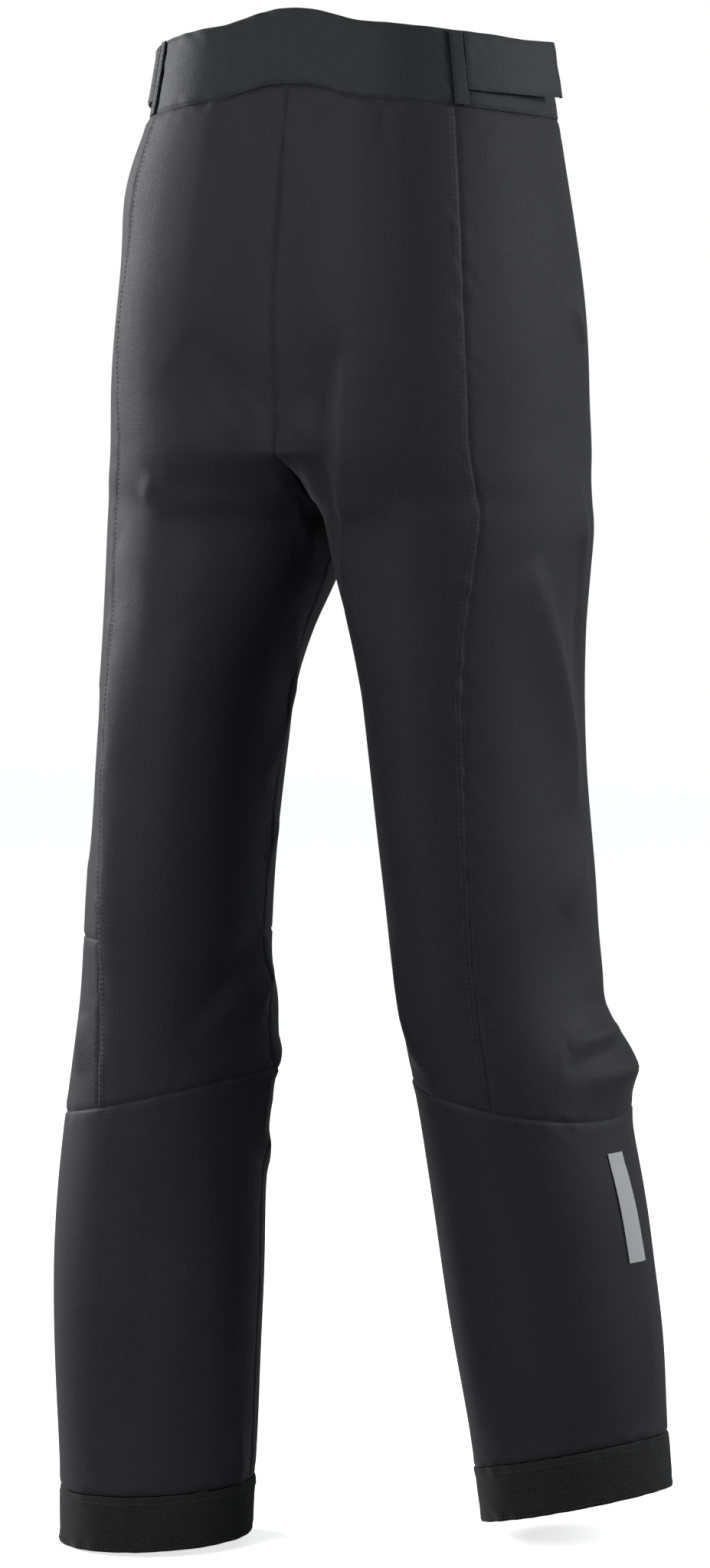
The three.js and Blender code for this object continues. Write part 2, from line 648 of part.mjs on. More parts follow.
// The pull turns on the pin and hangs down over the teeth.
function pullGeometry() {
  const barrelWidth = 2 * (PIN.earGap - 0.35);
  const ring = new THREE.CylinderGeometry(2, 2, barrelWidth, 16).rotateZ(Math.PI / 2);
  const hole = new THREE.CylinderGeometry(PIN.radius + 0.35, PIN.radius + 0.35, barrelWidth + 2, 16)
    .rotateZ(Math.PI / 2);
  const neck = block(-barrelWidth / 2, barrelWidth / 2, 0, 5, -PULL.thickness / 2, PULL.thickness / 2);
  const outline = new THREE.Shape();
  const half = PULL.width / 2;
  outline.moveTo(-half, 4);
  outline.lineTo(half, 4);
  outline.lineTo(half, PULL.length - half);
  outline.absarc(0, PULL.length - half, half, 0, Math.PI, false);
  outline.lineTo(-half, 4);
  const tail = new THREE.Path();
  tail.absarc(0, PULL.length - half - 1, PULL.hole / 2, 0, Math.PI * 2, true);
  outline.holes.push(tail);
  const plate = new THREE.ExtrudeGeometry(outline, { depth: PULL.thickness, bevelEnabled: false, curveSegments: 8 })
    .translate(0, 0, -PULL.thickness / 2);
  const whole = asSolid(ring).add(asSolid(neck)).add(asSolid(plate)).subtract(asSolid(hole));
  return asGeometry(whole).translate(0, 2.7, PIN.height);
}

function addZip(name, run) {
  const on = (geometry) => placed(geometry, run.start, run.across, run.down, run.outward);
  const past = SLOT_END - 1;
  addPiece(`${name}_tape`,
    on(block(-ZIP.tapeHalf, ZIP.tapeHalf, -past, run.length + past, run.tapeFace - ZIP.tape, run.tapeFace)),
    "tape");
  addPiece(`${name}_teeth`,
    on(block(-ZIP.teethHalf, ZIP.teethHalf, 0, run.length, -ZIP.teeth, 0)), "rubber");
  addPiece(`${name}_slider`, on(sliderGeometry()), "metal");
  addPiece(`${name}_pull`, on(pullGeometry()), "metal");
}

addZip("fly_zip", flyZip);
for (const side of ["left", "right"]) {
  addZip(`pocket_zip_${side}`, pocketZips[side]);

  const bagStart = (drop) => frontSeam(drop) + 18 / millimetresPerTurn(side, 2.9, drop);
  addPiece(`pocket_bag_${side}`,
    clothPanel(side, bagStart, () => 3.48, 5, [[() => pocketTop + 8, 4], [() => pocketTop + POCKET.length + 55, 1]], 1.2,
      { outer: -SHELL - 3, gap: 0 }),
    "lining");

  // A loop of tape for hanging the pants up, sewn inside the waistband at the side.
  const outline = new THREE.Shape([
    [-HANGER.span / 2, 0], [-HANGER.span / 2, HANGER.drop], [HANGER.span / 2, HANGER.drop], [HANGER.span / 2, 0],
    [HANGER.span / 2 - HANGER.width, 0], [HANGER.span / 2 - HANGER.width, HANGER.drop - HANGER.width],
    [-HANGER.span / 2 + HANGER.width, HANGER.drop - HANGER.width], [-HANGER.span / 2 + HANGER.width, 0],
  ].map(([x, y]) => new THREE.Vector2(x, y)));
  const loop = new THREE.ExtrudeGeometry(outline, { depth: HANGER.thickness, bevelEnabled: false });
  const top = offBody(side, 2, bandMiddle - 14, -liningInset - 4);
  const foot = offBody(side, 2, bandMiddle + 20, -liningInset - 4);
  const sideways = offBody(side, 2, bandMiddle, 1).sub(offBody(side, 2, bandMiddle, 0));
  const loopFrame = frameAlong(top, foot, sideways);
  addPiece(`hanger_loop_${side}`,
    placed(loop, loopFrame.start, loopFrame.across, loopFrame.down, loopFrame.outward), "tape");
}

// ---------------------------------------------------------------- reflective mark on the right calf
addPiece("reflective_mark", closedSheet(3, 5, (column, row) => {
  const middleDrop = CALF_SEAM_DROP + CALF_SEAM_SLANT + 22 + MARK.height / 2;
  const drop = middleDrop + (row / 5 - 0.5) * MARK.height;
  const around = 2 + ((column / 3 - 0.5) * MARK.width) / millimetresPerTurn("right", 2, drop);
  return [offBody("right", around, drop, LIFT + MARK.thickness), offBody("right", around, drop, LIFT)];
}), "reflective");

export default group;
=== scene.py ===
import math

import bmesh
import bpy
import numpy as np
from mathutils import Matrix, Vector


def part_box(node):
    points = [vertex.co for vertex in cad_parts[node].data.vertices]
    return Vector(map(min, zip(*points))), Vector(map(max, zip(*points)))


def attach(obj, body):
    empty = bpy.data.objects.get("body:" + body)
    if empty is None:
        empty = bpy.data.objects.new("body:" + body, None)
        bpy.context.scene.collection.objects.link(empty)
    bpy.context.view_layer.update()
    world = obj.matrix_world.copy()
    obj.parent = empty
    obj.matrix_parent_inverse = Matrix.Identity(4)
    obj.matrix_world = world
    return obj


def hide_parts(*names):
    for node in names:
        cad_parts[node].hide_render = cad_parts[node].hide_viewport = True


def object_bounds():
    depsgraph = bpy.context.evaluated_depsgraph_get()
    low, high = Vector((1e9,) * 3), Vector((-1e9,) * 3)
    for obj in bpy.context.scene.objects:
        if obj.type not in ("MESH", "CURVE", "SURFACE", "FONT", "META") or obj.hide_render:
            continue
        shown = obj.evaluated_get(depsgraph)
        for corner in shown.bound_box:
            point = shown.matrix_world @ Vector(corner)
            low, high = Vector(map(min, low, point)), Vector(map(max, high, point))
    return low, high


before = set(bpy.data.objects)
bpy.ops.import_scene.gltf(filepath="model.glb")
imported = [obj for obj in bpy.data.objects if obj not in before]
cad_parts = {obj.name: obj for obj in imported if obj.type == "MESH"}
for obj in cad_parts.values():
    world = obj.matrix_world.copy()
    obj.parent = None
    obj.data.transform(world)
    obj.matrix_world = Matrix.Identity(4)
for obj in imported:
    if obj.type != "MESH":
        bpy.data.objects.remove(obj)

cad_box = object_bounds()

# ---------------------------------------------------------------- camera, lights and floor
# The pants stand on a pale studio floor and are seen from behind, a little to their right side.
# Big soft lamps on both sides and an all-white room give the bright edges of the folds.
middle_height = -0.508
view_distance = 3.5
view_azimuth = math.radians(205)
view_elevation = math.radians(3.4)
bpy.ops.object.select_all(action="DESELECT")

bpy.ops.object.camera_add()
camera = bpy.context.object
camera.name = "camera"
camera.data.sensor_width = 36
camera.data.sensor_fit = "VERTICAL"
camera.data.sensor_height = 36
camera.data.lens = 117.9
camera.data.shift_x = 0.0015 * 927 / 2048
camera.location = (
    view_distance * math.sin(view_azimuth) * math.cos(view_elevation),
    -view_distance * math.cos(view_azimuth) * math.cos(view_elevation),
    middle_height + view_distance * math.sin(view_elevation),
)
look = Vector((0, 0, middle_height)) - camera.location
camera.rotation_euler = look.to_track_quat("-Z", "Y").to_euler()
bpy.context.scene.camera = camera
bpy.context.scene.view_settings.view_transform = "Standard"


def soft_lamp(name, spot, size, power, tint):
    """A square soft box that faces the middle of the pants."""
    bpy.ops.object.light_add(type="AREA", location=spot)
    lamp = bpy.context.object
    lamp.name = name
    lamp.data.shape = "SQUARE"
    lamp.data.size = size
    lamp.data.energy = power
    lamp.data.color = tint
    aim = Vector((0, 0, middle_height)) - Vector(spot)
    lamp.rotation_euler = aim.to_track_quat("-Z", "Y").to_euler()


soft_lamp("lamp_over_left", (0.7, 2.9, 0.8), 1.0, 50, (1.0, 1.0, 1.0))
soft_lamp("lamp_right_edge", (-2.5, -1.1, 0.5), 1.1, 50, (0.97, 0.98, 1.0))
soft_lamp("lamp_left_edge", (2.6, -0.3, 0.4), 1.1, 66, (0.98, 0.98, 1.0))

room = bpy.data.worlds.new("white_room")
bpy.context.scene.world = room
room.use_nodes = True
links = room.node_tree.links
room_light = room.node_tree.nodes["Background"]
room_light.inputs["Color"].default_value = (0.95, 0.97, 1.0, 1)
room_light.inputs["Strength"].default_value = 0.26
seen_wall = room.node_tree.nodes.new("ShaderNodeBackground")
seen_wall.inputs["Color"].default_value = (1, 1, 1, 1)
seen_wall.inputs["Strength"].default_value = 1.0
ray = room.node_tree.nodes.new("ShaderNodeLightPath")
both = room.node_tree.nodes.new("ShaderNodeMixShader")
links.new(ray.outputs["Is Camera Ray"], both.inputs["Fac"])
links.new(room_light.outputs["Background"], both.inputs[1])
links.new(seen_wall.outputs["Background"], both.inputs[2])
links.new(both.outputs["Shader"], room.node_tree.nodes["World Output"].inputs["Surface"])

bpy.ops.mesh.primitive_plane_add(size=16, location=(0, 0, cad_box[0][2] - 0.0005))
floor = bpy.context.object
floor.name = "floor"
paper = bpy.data.materials.new("studio_paper")
BOUNCE_COLOUR = 6  # the mix node's own two colour inputs
SEEN_COLOUR = 7
MIXED_COLOUR = 2
paper.use_nodes = True
paper.node_tree.nodes["Principled BSDF"].inputs["Base Color"].default_value = (0.93, 0.93, 0.93, 1)
paper.node_tree.nodes["Principled BSDF"].inputs["Roughness"].default_value = 0.9
paper.node_tree.nodes["Principled BSDF"].inputs["Emission Color"].default_value = (1, 1, 1, 1)
seen_floor = paper.node_tree.nodes.new("ShaderNodeLightPath")
glow = paper.node_tree.nodes.new("ShaderNodeMath")
glow.operation = "MULTIPLY"
glow.inputs[1].default_value = 0.75
paper.node_tree.links.new(seen_floor.outputs["Is Camera Ray"], glow.inputs[0])
paper_shade = paper.node_tree.nodes.new("ShaderNodeMix")
paper_shade.data_type = "RGBA"
paper_shade.inputs[BOUNCE_COLOUR].default_value = (0.25, 0.25, 0.25, 1)
paper_shade.inputs[SEEN_COLOUR].default_value = (0.93, 0.93, 0.93, 1)
paper.node_tree.links.new(seen_floor.outputs["Is Camera Ray"], paper_shade.inputs[0])
paper_sockets = paper.node_tree.nodes["Principled BSDF"].inputs
paper.node_tree.links.new(paper_shade.outputs[MIXED_COLOUR], paper_sockets["Base Color"])
paper.node_tree.links.new(glow.outputs["Value"], paper_sockets["Emission Strength"])
floor.data.materials.append(paper)

# ---------------------------------------------------------------- shell panels
# Each leg and half of the seat is cut from stretch softshell: a matt charcoal face bonded to a thin
# membrane. The panels are joined edge to edge with flat, turned-in seams and hang in soft folds.
SHELL = 0.0016


def sockets(group, side, names):
    for name, kind in names:
        group.interface.new_socket(name=name, in_out=side, socket_type=kind)


def cloth_grain_group():
    """Speckle, cloudy shade and a small surface height for woven or knitted cloth."""
    group = bpy.data.node_groups.new("cloth_grain", "ShaderNodeTree")
    sockets(group, "INPUT", [
        ("Dark", "NodeSocketColor"),
        ("Light", "NodeSocketColor"),
        ("Yarns per metre", "NodeSocketFloat"),
        ("Clouding", "NodeSocketFloat"),
    ])
    sockets(group, "OUTPUT", [
        ("Color", "NodeSocketColor"),
        ("Height", "NodeSocketFloat"),
        ("Roughness", "NodeSocketFloat"),
    ])
    nodes = group.nodes
    wires = group.links
    start = nodes.new("NodeGroupInput")
    end = nodes.new("NodeGroupOutput")
    place = nodes.new("ShaderNodeTexCoord")
    yarn = nodes.new("ShaderNodeTexNoise")
    yarn.inputs["Detail"].default_value = 3
    yarn.inputs["Roughness"].default_value = 0.65
    cloud = nodes.new("ShaderNodeTexNoise")
    cloud.inputs["Scale"].default_value = 7
    cloud.inputs["Detail"].default_value = 4
    wires.new(place.outputs["Object"], yarn.inputs["Vector"])
    wires.new(place.outputs["Object"], cloud.inputs["Vector"])
    wires.new(start.outputs["Yarns per metre"], yarn.inputs["Scale"])
    speck = nodes.new("ShaderNodeMapRange")
    speck.inputs["From Min"].default_value = 0.3
    speck.inputs["From Max"].default_value = 0.7
    wires.new(yarn.outputs["Fac"], speck.inputs["Value"])
    centred = nodes.new("ShaderNodeMath")
    centred.operation = "SUBTRACT"
    centred.inputs[1].default_value = 0.5
    wires.new(cloud.outputs["Fac"], centred.inputs[0])
    drift = nodes.new("ShaderNodeMath")
    drift.operation = "MULTIPLY_ADD"
    wires.new(centred.outputs["Value"], drift.inputs[0])
    wires.new(start.outputs["Clouding"], drift.inputs[1])
    wires.new(speck.outputs["Result"], drift.inputs[2])
    tone = nodes.new("ShaderNodeMix")
    tone.data_type = "RGBA"
    wires.new(drift.outputs["Value"], tone.inputs["Factor"])
    wires.new(start.outputs["Dark"], tone.inputs["A"])
    wires.new(start.outputs["Light"], tone.inputs["B"])
    rough = nodes.new("ShaderNodeMapRange")
    rough.inputs["To Min"].default_value = 0.5
    rough.inputs["To Max"].default_value = 0.72
    wires.new(drift.outputs["Value"], rough.inputs["Value"])
    wires.new(tone.outputs["Result"], end.inputs["Color"])
    wires.new(speck.outputs["Result"], end.inputs["Height"])
    wires.new(rough.outputs["Result"], end.inputs["Roughness"])
    return group


cloth_grain = cloth_grain_group()


def cloth_material(name, dark, light, yarns, clouding, relief, sheen, sheen_tint):
    """A cloth: grain from the shared group, with its own colours, relief and sheen."""
    material = bpy.data.materials.new(name)
    material.use_nodes = True
    nodes = material.node_tree.nodes
    wires = material.node_tree.links
    shader = nodes["Principled BSDF"]
    grain = nodes.new("ShaderNodeGroup")
    grain.node_tree = cloth_grain
    grain.inputs["Dark"].default_value = (*dark, 1)
    grain.inputs["Light"].default_value = (*light, 1)
    grain.inputs["Yarns per metre"].default_value = yarns
    grain.inputs["Clouding"].default_value = clouding
    bump = nodes.new("ShaderNodeBump")
    bump.inputs["Strength"].default_value = 0.6
    bump.inputs["Distance"].default_value = relief
    wires.new(grain.outputs["Height"], bump.inputs["Height"])
    wires.new(grain.outputs["Color"], shader.inputs["Base Color"])
    wires.new(grain.outputs["Roughness"], shader.inputs["Roughness"])
    wires.new(bump.outputs["Normal"], shader.inputs["Normal"])
    shader.inputs["Specular IOR Level"].default_value = 0.22
    shader.inputs["Sheen Weight"].default_value = sheen
    shader.inputs["Sheen Roughness"].default_value = 0.35
    shader.inputs["Sheen Tint"].default_value = (*sheen_tint, 1)
    return material


softshell = cloth_material(
    "softshell_face", (0.013, 0.0128, 0.0165), (0.026, 0.0255, 0.031), 900, 1.0, 0.00025, 0.16,
    (0.75, 0.74, 0.85)
)

# Folds of the hanging cloth. Each has a line of points, a height (a ridge, or a valley if below
# zero), and how far it spreads to its left and to its right when followed downwards.
FOLDS = [
    # seat, left half: two slanting valleys that run into the centre seam
    ([(0.06, 0.132, -0.205), (0.015, 0.126, -0.25), (-0.006, 0.124, -0.272)], -0.0035, 0.012, 0.018),
    ([(0.045, 0.131, -0.245), (0.02, 0.128, -0.268), (0.0, 0.124, -0.29)], 0.0022, 0.012, 0.012),
    ([(0.075, 0.13, -0.225), (0.045, 0.13, -0.26), (0.02, 0.126, -0.29)], -0.0022, 0.014, 0.016),
    # seat, right half: the hollow beside the crotch and the long edge below it
    ([(-0.058, 0.133, -0.208), (-0.04, 0.131, -0.23), (-0.02, 0.127, -0.265)], -0.004, 0.016, 0.012),
    ([(-0.06, 0.133, -0.205), (-0.056, 0.132, -0.25), (-0.051, 0.124, -0.303), (-0.045, 0.105, -0.346),
      (-0.046, 0.1, -0.385), (-0.055, 0.09, -0.44)], 0.0065, 0.009, 0.03),
    ([(-0.035, 0.128, -0.24), (-0.032, 0.124, -0.29), (-0.03, 0.11, -0.34)], -0.004, 0.014, 0.014),
    # folds that spread from the crotch
    ([(-0.008, 0.12, -0.275), (0.001, 0.085, -0.31), (0.005, 0.05, -0.333)], -0.004, 0.009, 0.009),
    ([(0.012, 0.115, -0.288), (0.006, 0.075, -0.315), (0.01, 0.045, -0.355)], 0.0035, 0.007, 0.009),
    ([(0.08, 0.125, -0.3), (0.04, 0.12, -0.31), (0.012, 0.112, -0.312)], -0.002, 0.014, 0.014),
    # left thigh
    ([(0.128, 0.1, -0.15), (0.125, 0.103, -0.205), (0.124, 0.104, -0.25), (0.115, 0.11, -0.278)],
     0.002, 0.01, 0.02),
    ([(0.088, 0.122, -0.298), (0.102, 0.117, -0.318)], 0.0025, 0.008, 0.012),
    ([(0.125, 0.1, -0.345), (0.09, 0.122, -0.375), (0.07, 0.124, -0.395)], 0.0028, 0.018, 0.022),
    ([(0.13, 0.106, -0.39), (0.119, 0.124, -0.43), (0.116, 0.134, -0.476), (0.119, 0.134, -0.5),
      (0.116, 0.14, -0.535), (0.116, 0.143, -0.57), (0.117, 0.144, -0.63)], 0.0045, 0.009, 0.022),
    ([(0.145, 0.09, -0.44), (0.143, 0.1, -0.5), (0.147, 0.105, -0.56)], -0.003, 0.012, 0.012),
    ([(0.02, 0.05, -0.39), (0.038, 0.02, -0.444), (0.038, 0.045, -0.485), (0.037, 0.067, -0.505)],
     0.003, 0.012, 0.012),
    ([(0.05, 0.02, -0.53), (0.042, 0.05, -0.558)], 0.0022, 0.01, 0.012),
    # left knee: slanting folds across the back of the knee, pinched in at the inside
    ([(0.045, 0.055, -0.605), (0.048, 0.1, -0.635), (0.07, 0.139, -0.68)], -0.0035, 0.016, 0.012),
    ([(0.05, 0.03, -0.618), (0.045, 0.095, -0.652), (0.058, 0.125, -0.678)], 0.003, 0.01, 0.012),
    ([(0.042, 0.07, -0.648), (0.06, 0.128, -0.685)], -0.003, 0.012, 0.012),
    ([(0.048, 0.035, -0.628), (0.041, 0.07, -0.653), (0.044, 0.06, -0.664)], 0.0035, 0.006, 0.009),
    ([(0.05, 0.03, -0.682), (0.041, 0.065, -0.706), (0.041, 0.072, -0.738), (0.047, 0.04, -0.768)],
     0.0045, 0.007, 0.010),
    ([(0.05, 0.025, -0.70), (0.046, 0.045, -0.722), (0.048, 0.03, -0.75)], -0.004, 0.010, 0.010),
    ([(0.145, 0.125, -0.66), (0.143, 0.13, -0.7)], 0.0025, 0.008, 0.012),
    # left calf
    ([(0.078, 0.142, -0.755), (0.09, 0.145, -0.88), (0.09, 0.143, -0.975)], -0.002, 0.018, 0.024),
    ([(0.055, 0.124, -0.775), (0.068, 0.135, -0.88), (0.068, 0.131, -0.955)], 0.002, 0.018, 0.022),
    ([(0.05, 0.092, -0.93), (0.047, 0.086, -0.985)], 0.0035, 0.007, 0.010),
    # right hip and thigh
    ([(-0.159, 0.004, -0.178), (-0.158, -0.022, -0.214)], 0.003, 0.006, 0.010),
    ([(-0.157, 0.06, -0.355), (-0.160, 0.04, -0.395), (-0.161, 0.022, -0.435), (-0.162, 0.004, -0.475),
      (-0.162, -0.006, -0.52)], 0.0075, 0.022, 0.012),
    ([(-0.164, 0.0, -0.34), (-0.165, -0.01, -0.4), (-0.164, -0.022, -0.46)], -0.004, 0.014, 0.012),
    ([(-0.165, 0.008, -0.29), (-0.167, -0.002, -0.336), (-0.166, -0.012, -0.40)], 0.003, 0.009, 0.010),
    ([(-0.165, -0.018, -0.548), (-0.163, 0.015, -0.592)], 0.003, 0.014, 0.014),
    ([(-0.046, 0.104, -0.37), (-0.06, 0.105, -0.42)], 0.0022, 0.007, 0.012),
    # right knee: the cloth stacks up on the outside and folds in above it
    ([(-0.168, 0.0, -0.652), (-0.172, -0.05, -0.655), (-0.17, -0.08, -0.66)], -0.0035, 0.010, 0.012),
    ([(-0.166, 0.03, -0.694), (-0.174, -0.02, -0.687), (-0.176, -0.05, -0.683)], -0.0045, 0.007, 0.008),
    ([(-0.165, 0.025, -0.678), (-0.173, -0.015, -0.673), (-0.175, -0.05, -0.67)], 0.0055, 0.007, 0.009),
    ([(-0.17, 0.012, -0.705), (-0.178, -0.03, -0.702), (-0.176, -0.06, -0.7)], 0.004, 0.009, 0.010),
    ([(-0.062, 0.075, -0.605), (-0.064, 0.07, -0.645), (-0.074, 0.062, -0.682), (-0.093, 0.07, -0.697)],
     0.004, 0.009, 0.012),
    ([(-0.066, 0.05, -0.66), (-0.08, 0.05, -0.69), (-0.1, 0.06, -0.705)], -0.003, 0.010, 0.010),
    # right calf
    ([(-0.093, 0.044, -0.78), (-0.099, 0.027, -0.88), (-0.1, 0.016, -0.945)], 0.002, 0.022, 0.022),
    ([(-0.19, -0.01, -0.76), (-0.198, -0.02, -0.85), (-0.205, -0.03, -0.93)], 0.0025, 0.016, 0.022),
    # front of both legs
    ([(0.02, -0.1, -0.29), (0.055, -0.112, -0.27), (0.1, -0.1, -0.25)], 0.003, 0.012, 0.016),
    ([(-0.02, -0.1, -0.29), (-0.055, -0.112, -0.27), (-0.1, -0.1, -0.25)], 0.003, 0.016, 0.012),
    ([(0.015, -0.09, -0.325), (0.05, -0.105, -0.32), (0.09, -0.098, -0.31)], -0.0035, 0.012, 0.012),
    ([(-0.015, -0.09, -0.325), (-0.05, -0.105, -0.32), (-0.09, -0.098, -0.31)], -0.0035, 0.012, 0.012),
    ([(0.06, -0.085, -0.38), (0.075, -0.07, -0.47), (0.085, -0.045, -0.58)], 0.004, 0.016, 0.024),
    ([(-0.07, -0.095, -0.38), (-0.08, -0.095, -0.47), (-0.09, -0.09, -0.58)], 0.004, 0.024, 0.016),
    ([(0.15, 0.0, -0.64), (0.12, -0.03, -0.655), (0.09, -0.025, -0.67)], -0.004, 0.010, 0.012),
    ([(-0.17, -0.06, -0.64), (-0.13, -0.09, -0.655), (-0.09, -0.085, -0.67)], -0.004, 0.012, 0.010),
    ([(0.15, 0.01, -0.72), (0.12, -0.01, -0.735), (0.09, 0.0, -0.74)], 0.0035, 0.010, 0.014),
    ([(-0.185, -0.06, -0.72), (-0.14, -0.1, -0.735), (-0.1, -0.08, -0.74)], 0.0035, 0.014, 0.010),
    ([(0.12, 0.0, -0.8), (0.118, 0.01, -0.88), (0.122, 0.015, -0.96)], -0.0025, 0.02, 0.02),
    ([(-0.14, -0.1, -0.8), (-0.15, -0.11, -0.88), (-0.155, -0.11, -0.94)], -0.0025, 0.02, 0.02),
]

# Small gathers where the back panels are eased into the waistband.
for k in range(9):
    x = 0.045 - 0.019 * k + 0.004 * math.sin(5.0 * k)
    drop = 0.022 + 0.009 * math.sin(2.3 * k + 1)
    line = [(x, 0.104, -0.048), (x + 0.003, 0.107, -0.055 - drop / 2), (x + 0.001, 0.11, -0.058 - drop)]
    FOLDS.append((line, 0.0010 if k % 2 else -0.0008, 0.004, 0.005))

# Places where a whole patch of cloth stands out: middle, half sizes and height.
BULGES = [
    ((0.135, 0.06, -0.105), (0.05, 0.06, 0.04), 0.007),
    ((0.15, 0.06, -0.24), (0.05, 0.07, 0.07), 0.0025),
    ((0.15, 0.09, -0.53), (0.04, 0.06, 0.1), 0.001),
    ((0.16, 0.11, -0.86), (0.04, 0.06, 0.08), 0.004),
    ((-0.20, -0.02, -0.88), (0.04, 0.06, 0.05), 0.003),
    ((-0.178, -0.035, -0.695), (0.03, 0.06, 0.024), 0.0115),
    ((-0.165, -0.0, -0.46), (0.03, 0.06, 0.06), -0.003),
    ((0.05, 0.03, -0.655), (0.03, 0.05, 0.022), 0.005),
    ((0.045, 0.03, -0.695), (0.03, 0.05, 0.028), 0.008),
    ((0.045, 0.03, -0.74), (0.03, 0.05, 0.03), 0.003),
    ((-0.165, -0.01, -0.62), (0.03, 0.05, 0.03), -0.002),
]

FOLD_DEPTH = 1.15  # every fold stands out by this times its height

rng = np.random.default_rng(17)
wave_way = rng.normal(size=(16, 3)) * np.array([1.0, 1.0, 0.45])
wave_way /= np.linalg.norm(wave_way, axis=1)[:, None]
wave_length = rng.uniform(0.07, 0.22, 16)
wave_start = rng.uniform(0, 2 * math.pi, 16)
pucker_way = rng.normal(size=(12, 3))
pucker_way /= np.linalg.norm(pucker_way, axis=1)[:, None]
pucker_length = rng.uniform(0.009, 0.022, 12)
pucker_start = rng.uniform(0, 2 * math.pi, 12)


def waves(points, way, length, start):
    """A sum of even waves in space, about one high."""
    turns = points @ way.T * (2 * math.pi / length) + start
    return np.sin(turns).sum(axis=1) / math.sqrt(len(length))


def fold_height(points, normals):
    """How far the hanging cloth stands out from the body that it was cut for."""
    total = 0.0006 * waves(points, wave_way, wave_length, wave_start)
    for line, height, left, right in FOLDS:
        line = np.array(line)
        runs = np.linalg.norm(np.diff(line, axis=0), axis=1)
        best = np.full(len(points), 9.0)
        spread = np.full(len(points), left)
        along = np.zeros(len(points))
        gone = 0.0
        for k, run in enumerate(runs):
            way = (line[k + 1] - line[k]) / run
            away = points - line[k]
            share = np.clip(away @ way, 0, run)
            off = away - share[:, None] * way
            far = np.linalg.norm(off, axis=1)
            nearer = far < best
            side = np.einsum("ij,ij->i", np.cross(way, normals), off)
            best = np.where(nearer, far, best)
            spread = np.where(nearer, np.where(side > 0, left, right), spread)
            along = np.where(nearer, gone + share, along)
            gone += run
        ends = np.clip(np.sin(math.pi * along / gone), 0, 1) ** 0.7
        total += FOLD_DEPTH * height * ends * np.exp(-((best / spread) ** 1.5))
    for middle, half, height in BULGES:
        away = (points - np.array(middle)) / np.array(half)
        total += height * np.exp(-(away ** 2).sum(axis=1))
    return total


def inside_point(point, node):
    """The middle of the leg, or of the body above the legs, at this height."""
    top = -0.328
    if point.z > top:
        return Vector((0, 0, point.z))
    side = "left" if node.endswith("left") else "right"
    low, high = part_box("hem_cuff_" + side)
    share = (top - point.z) / (top - low[2])
    sign = 1 if side == "left" else -1
    x = sign * 0.085 * (1 - share) + (low[0] + high[0]) / 2 * share
    y = 0.01 * (1 - share) + (low[1] + high[1]) / 2 * share
    return Vector((x, y, point.z))


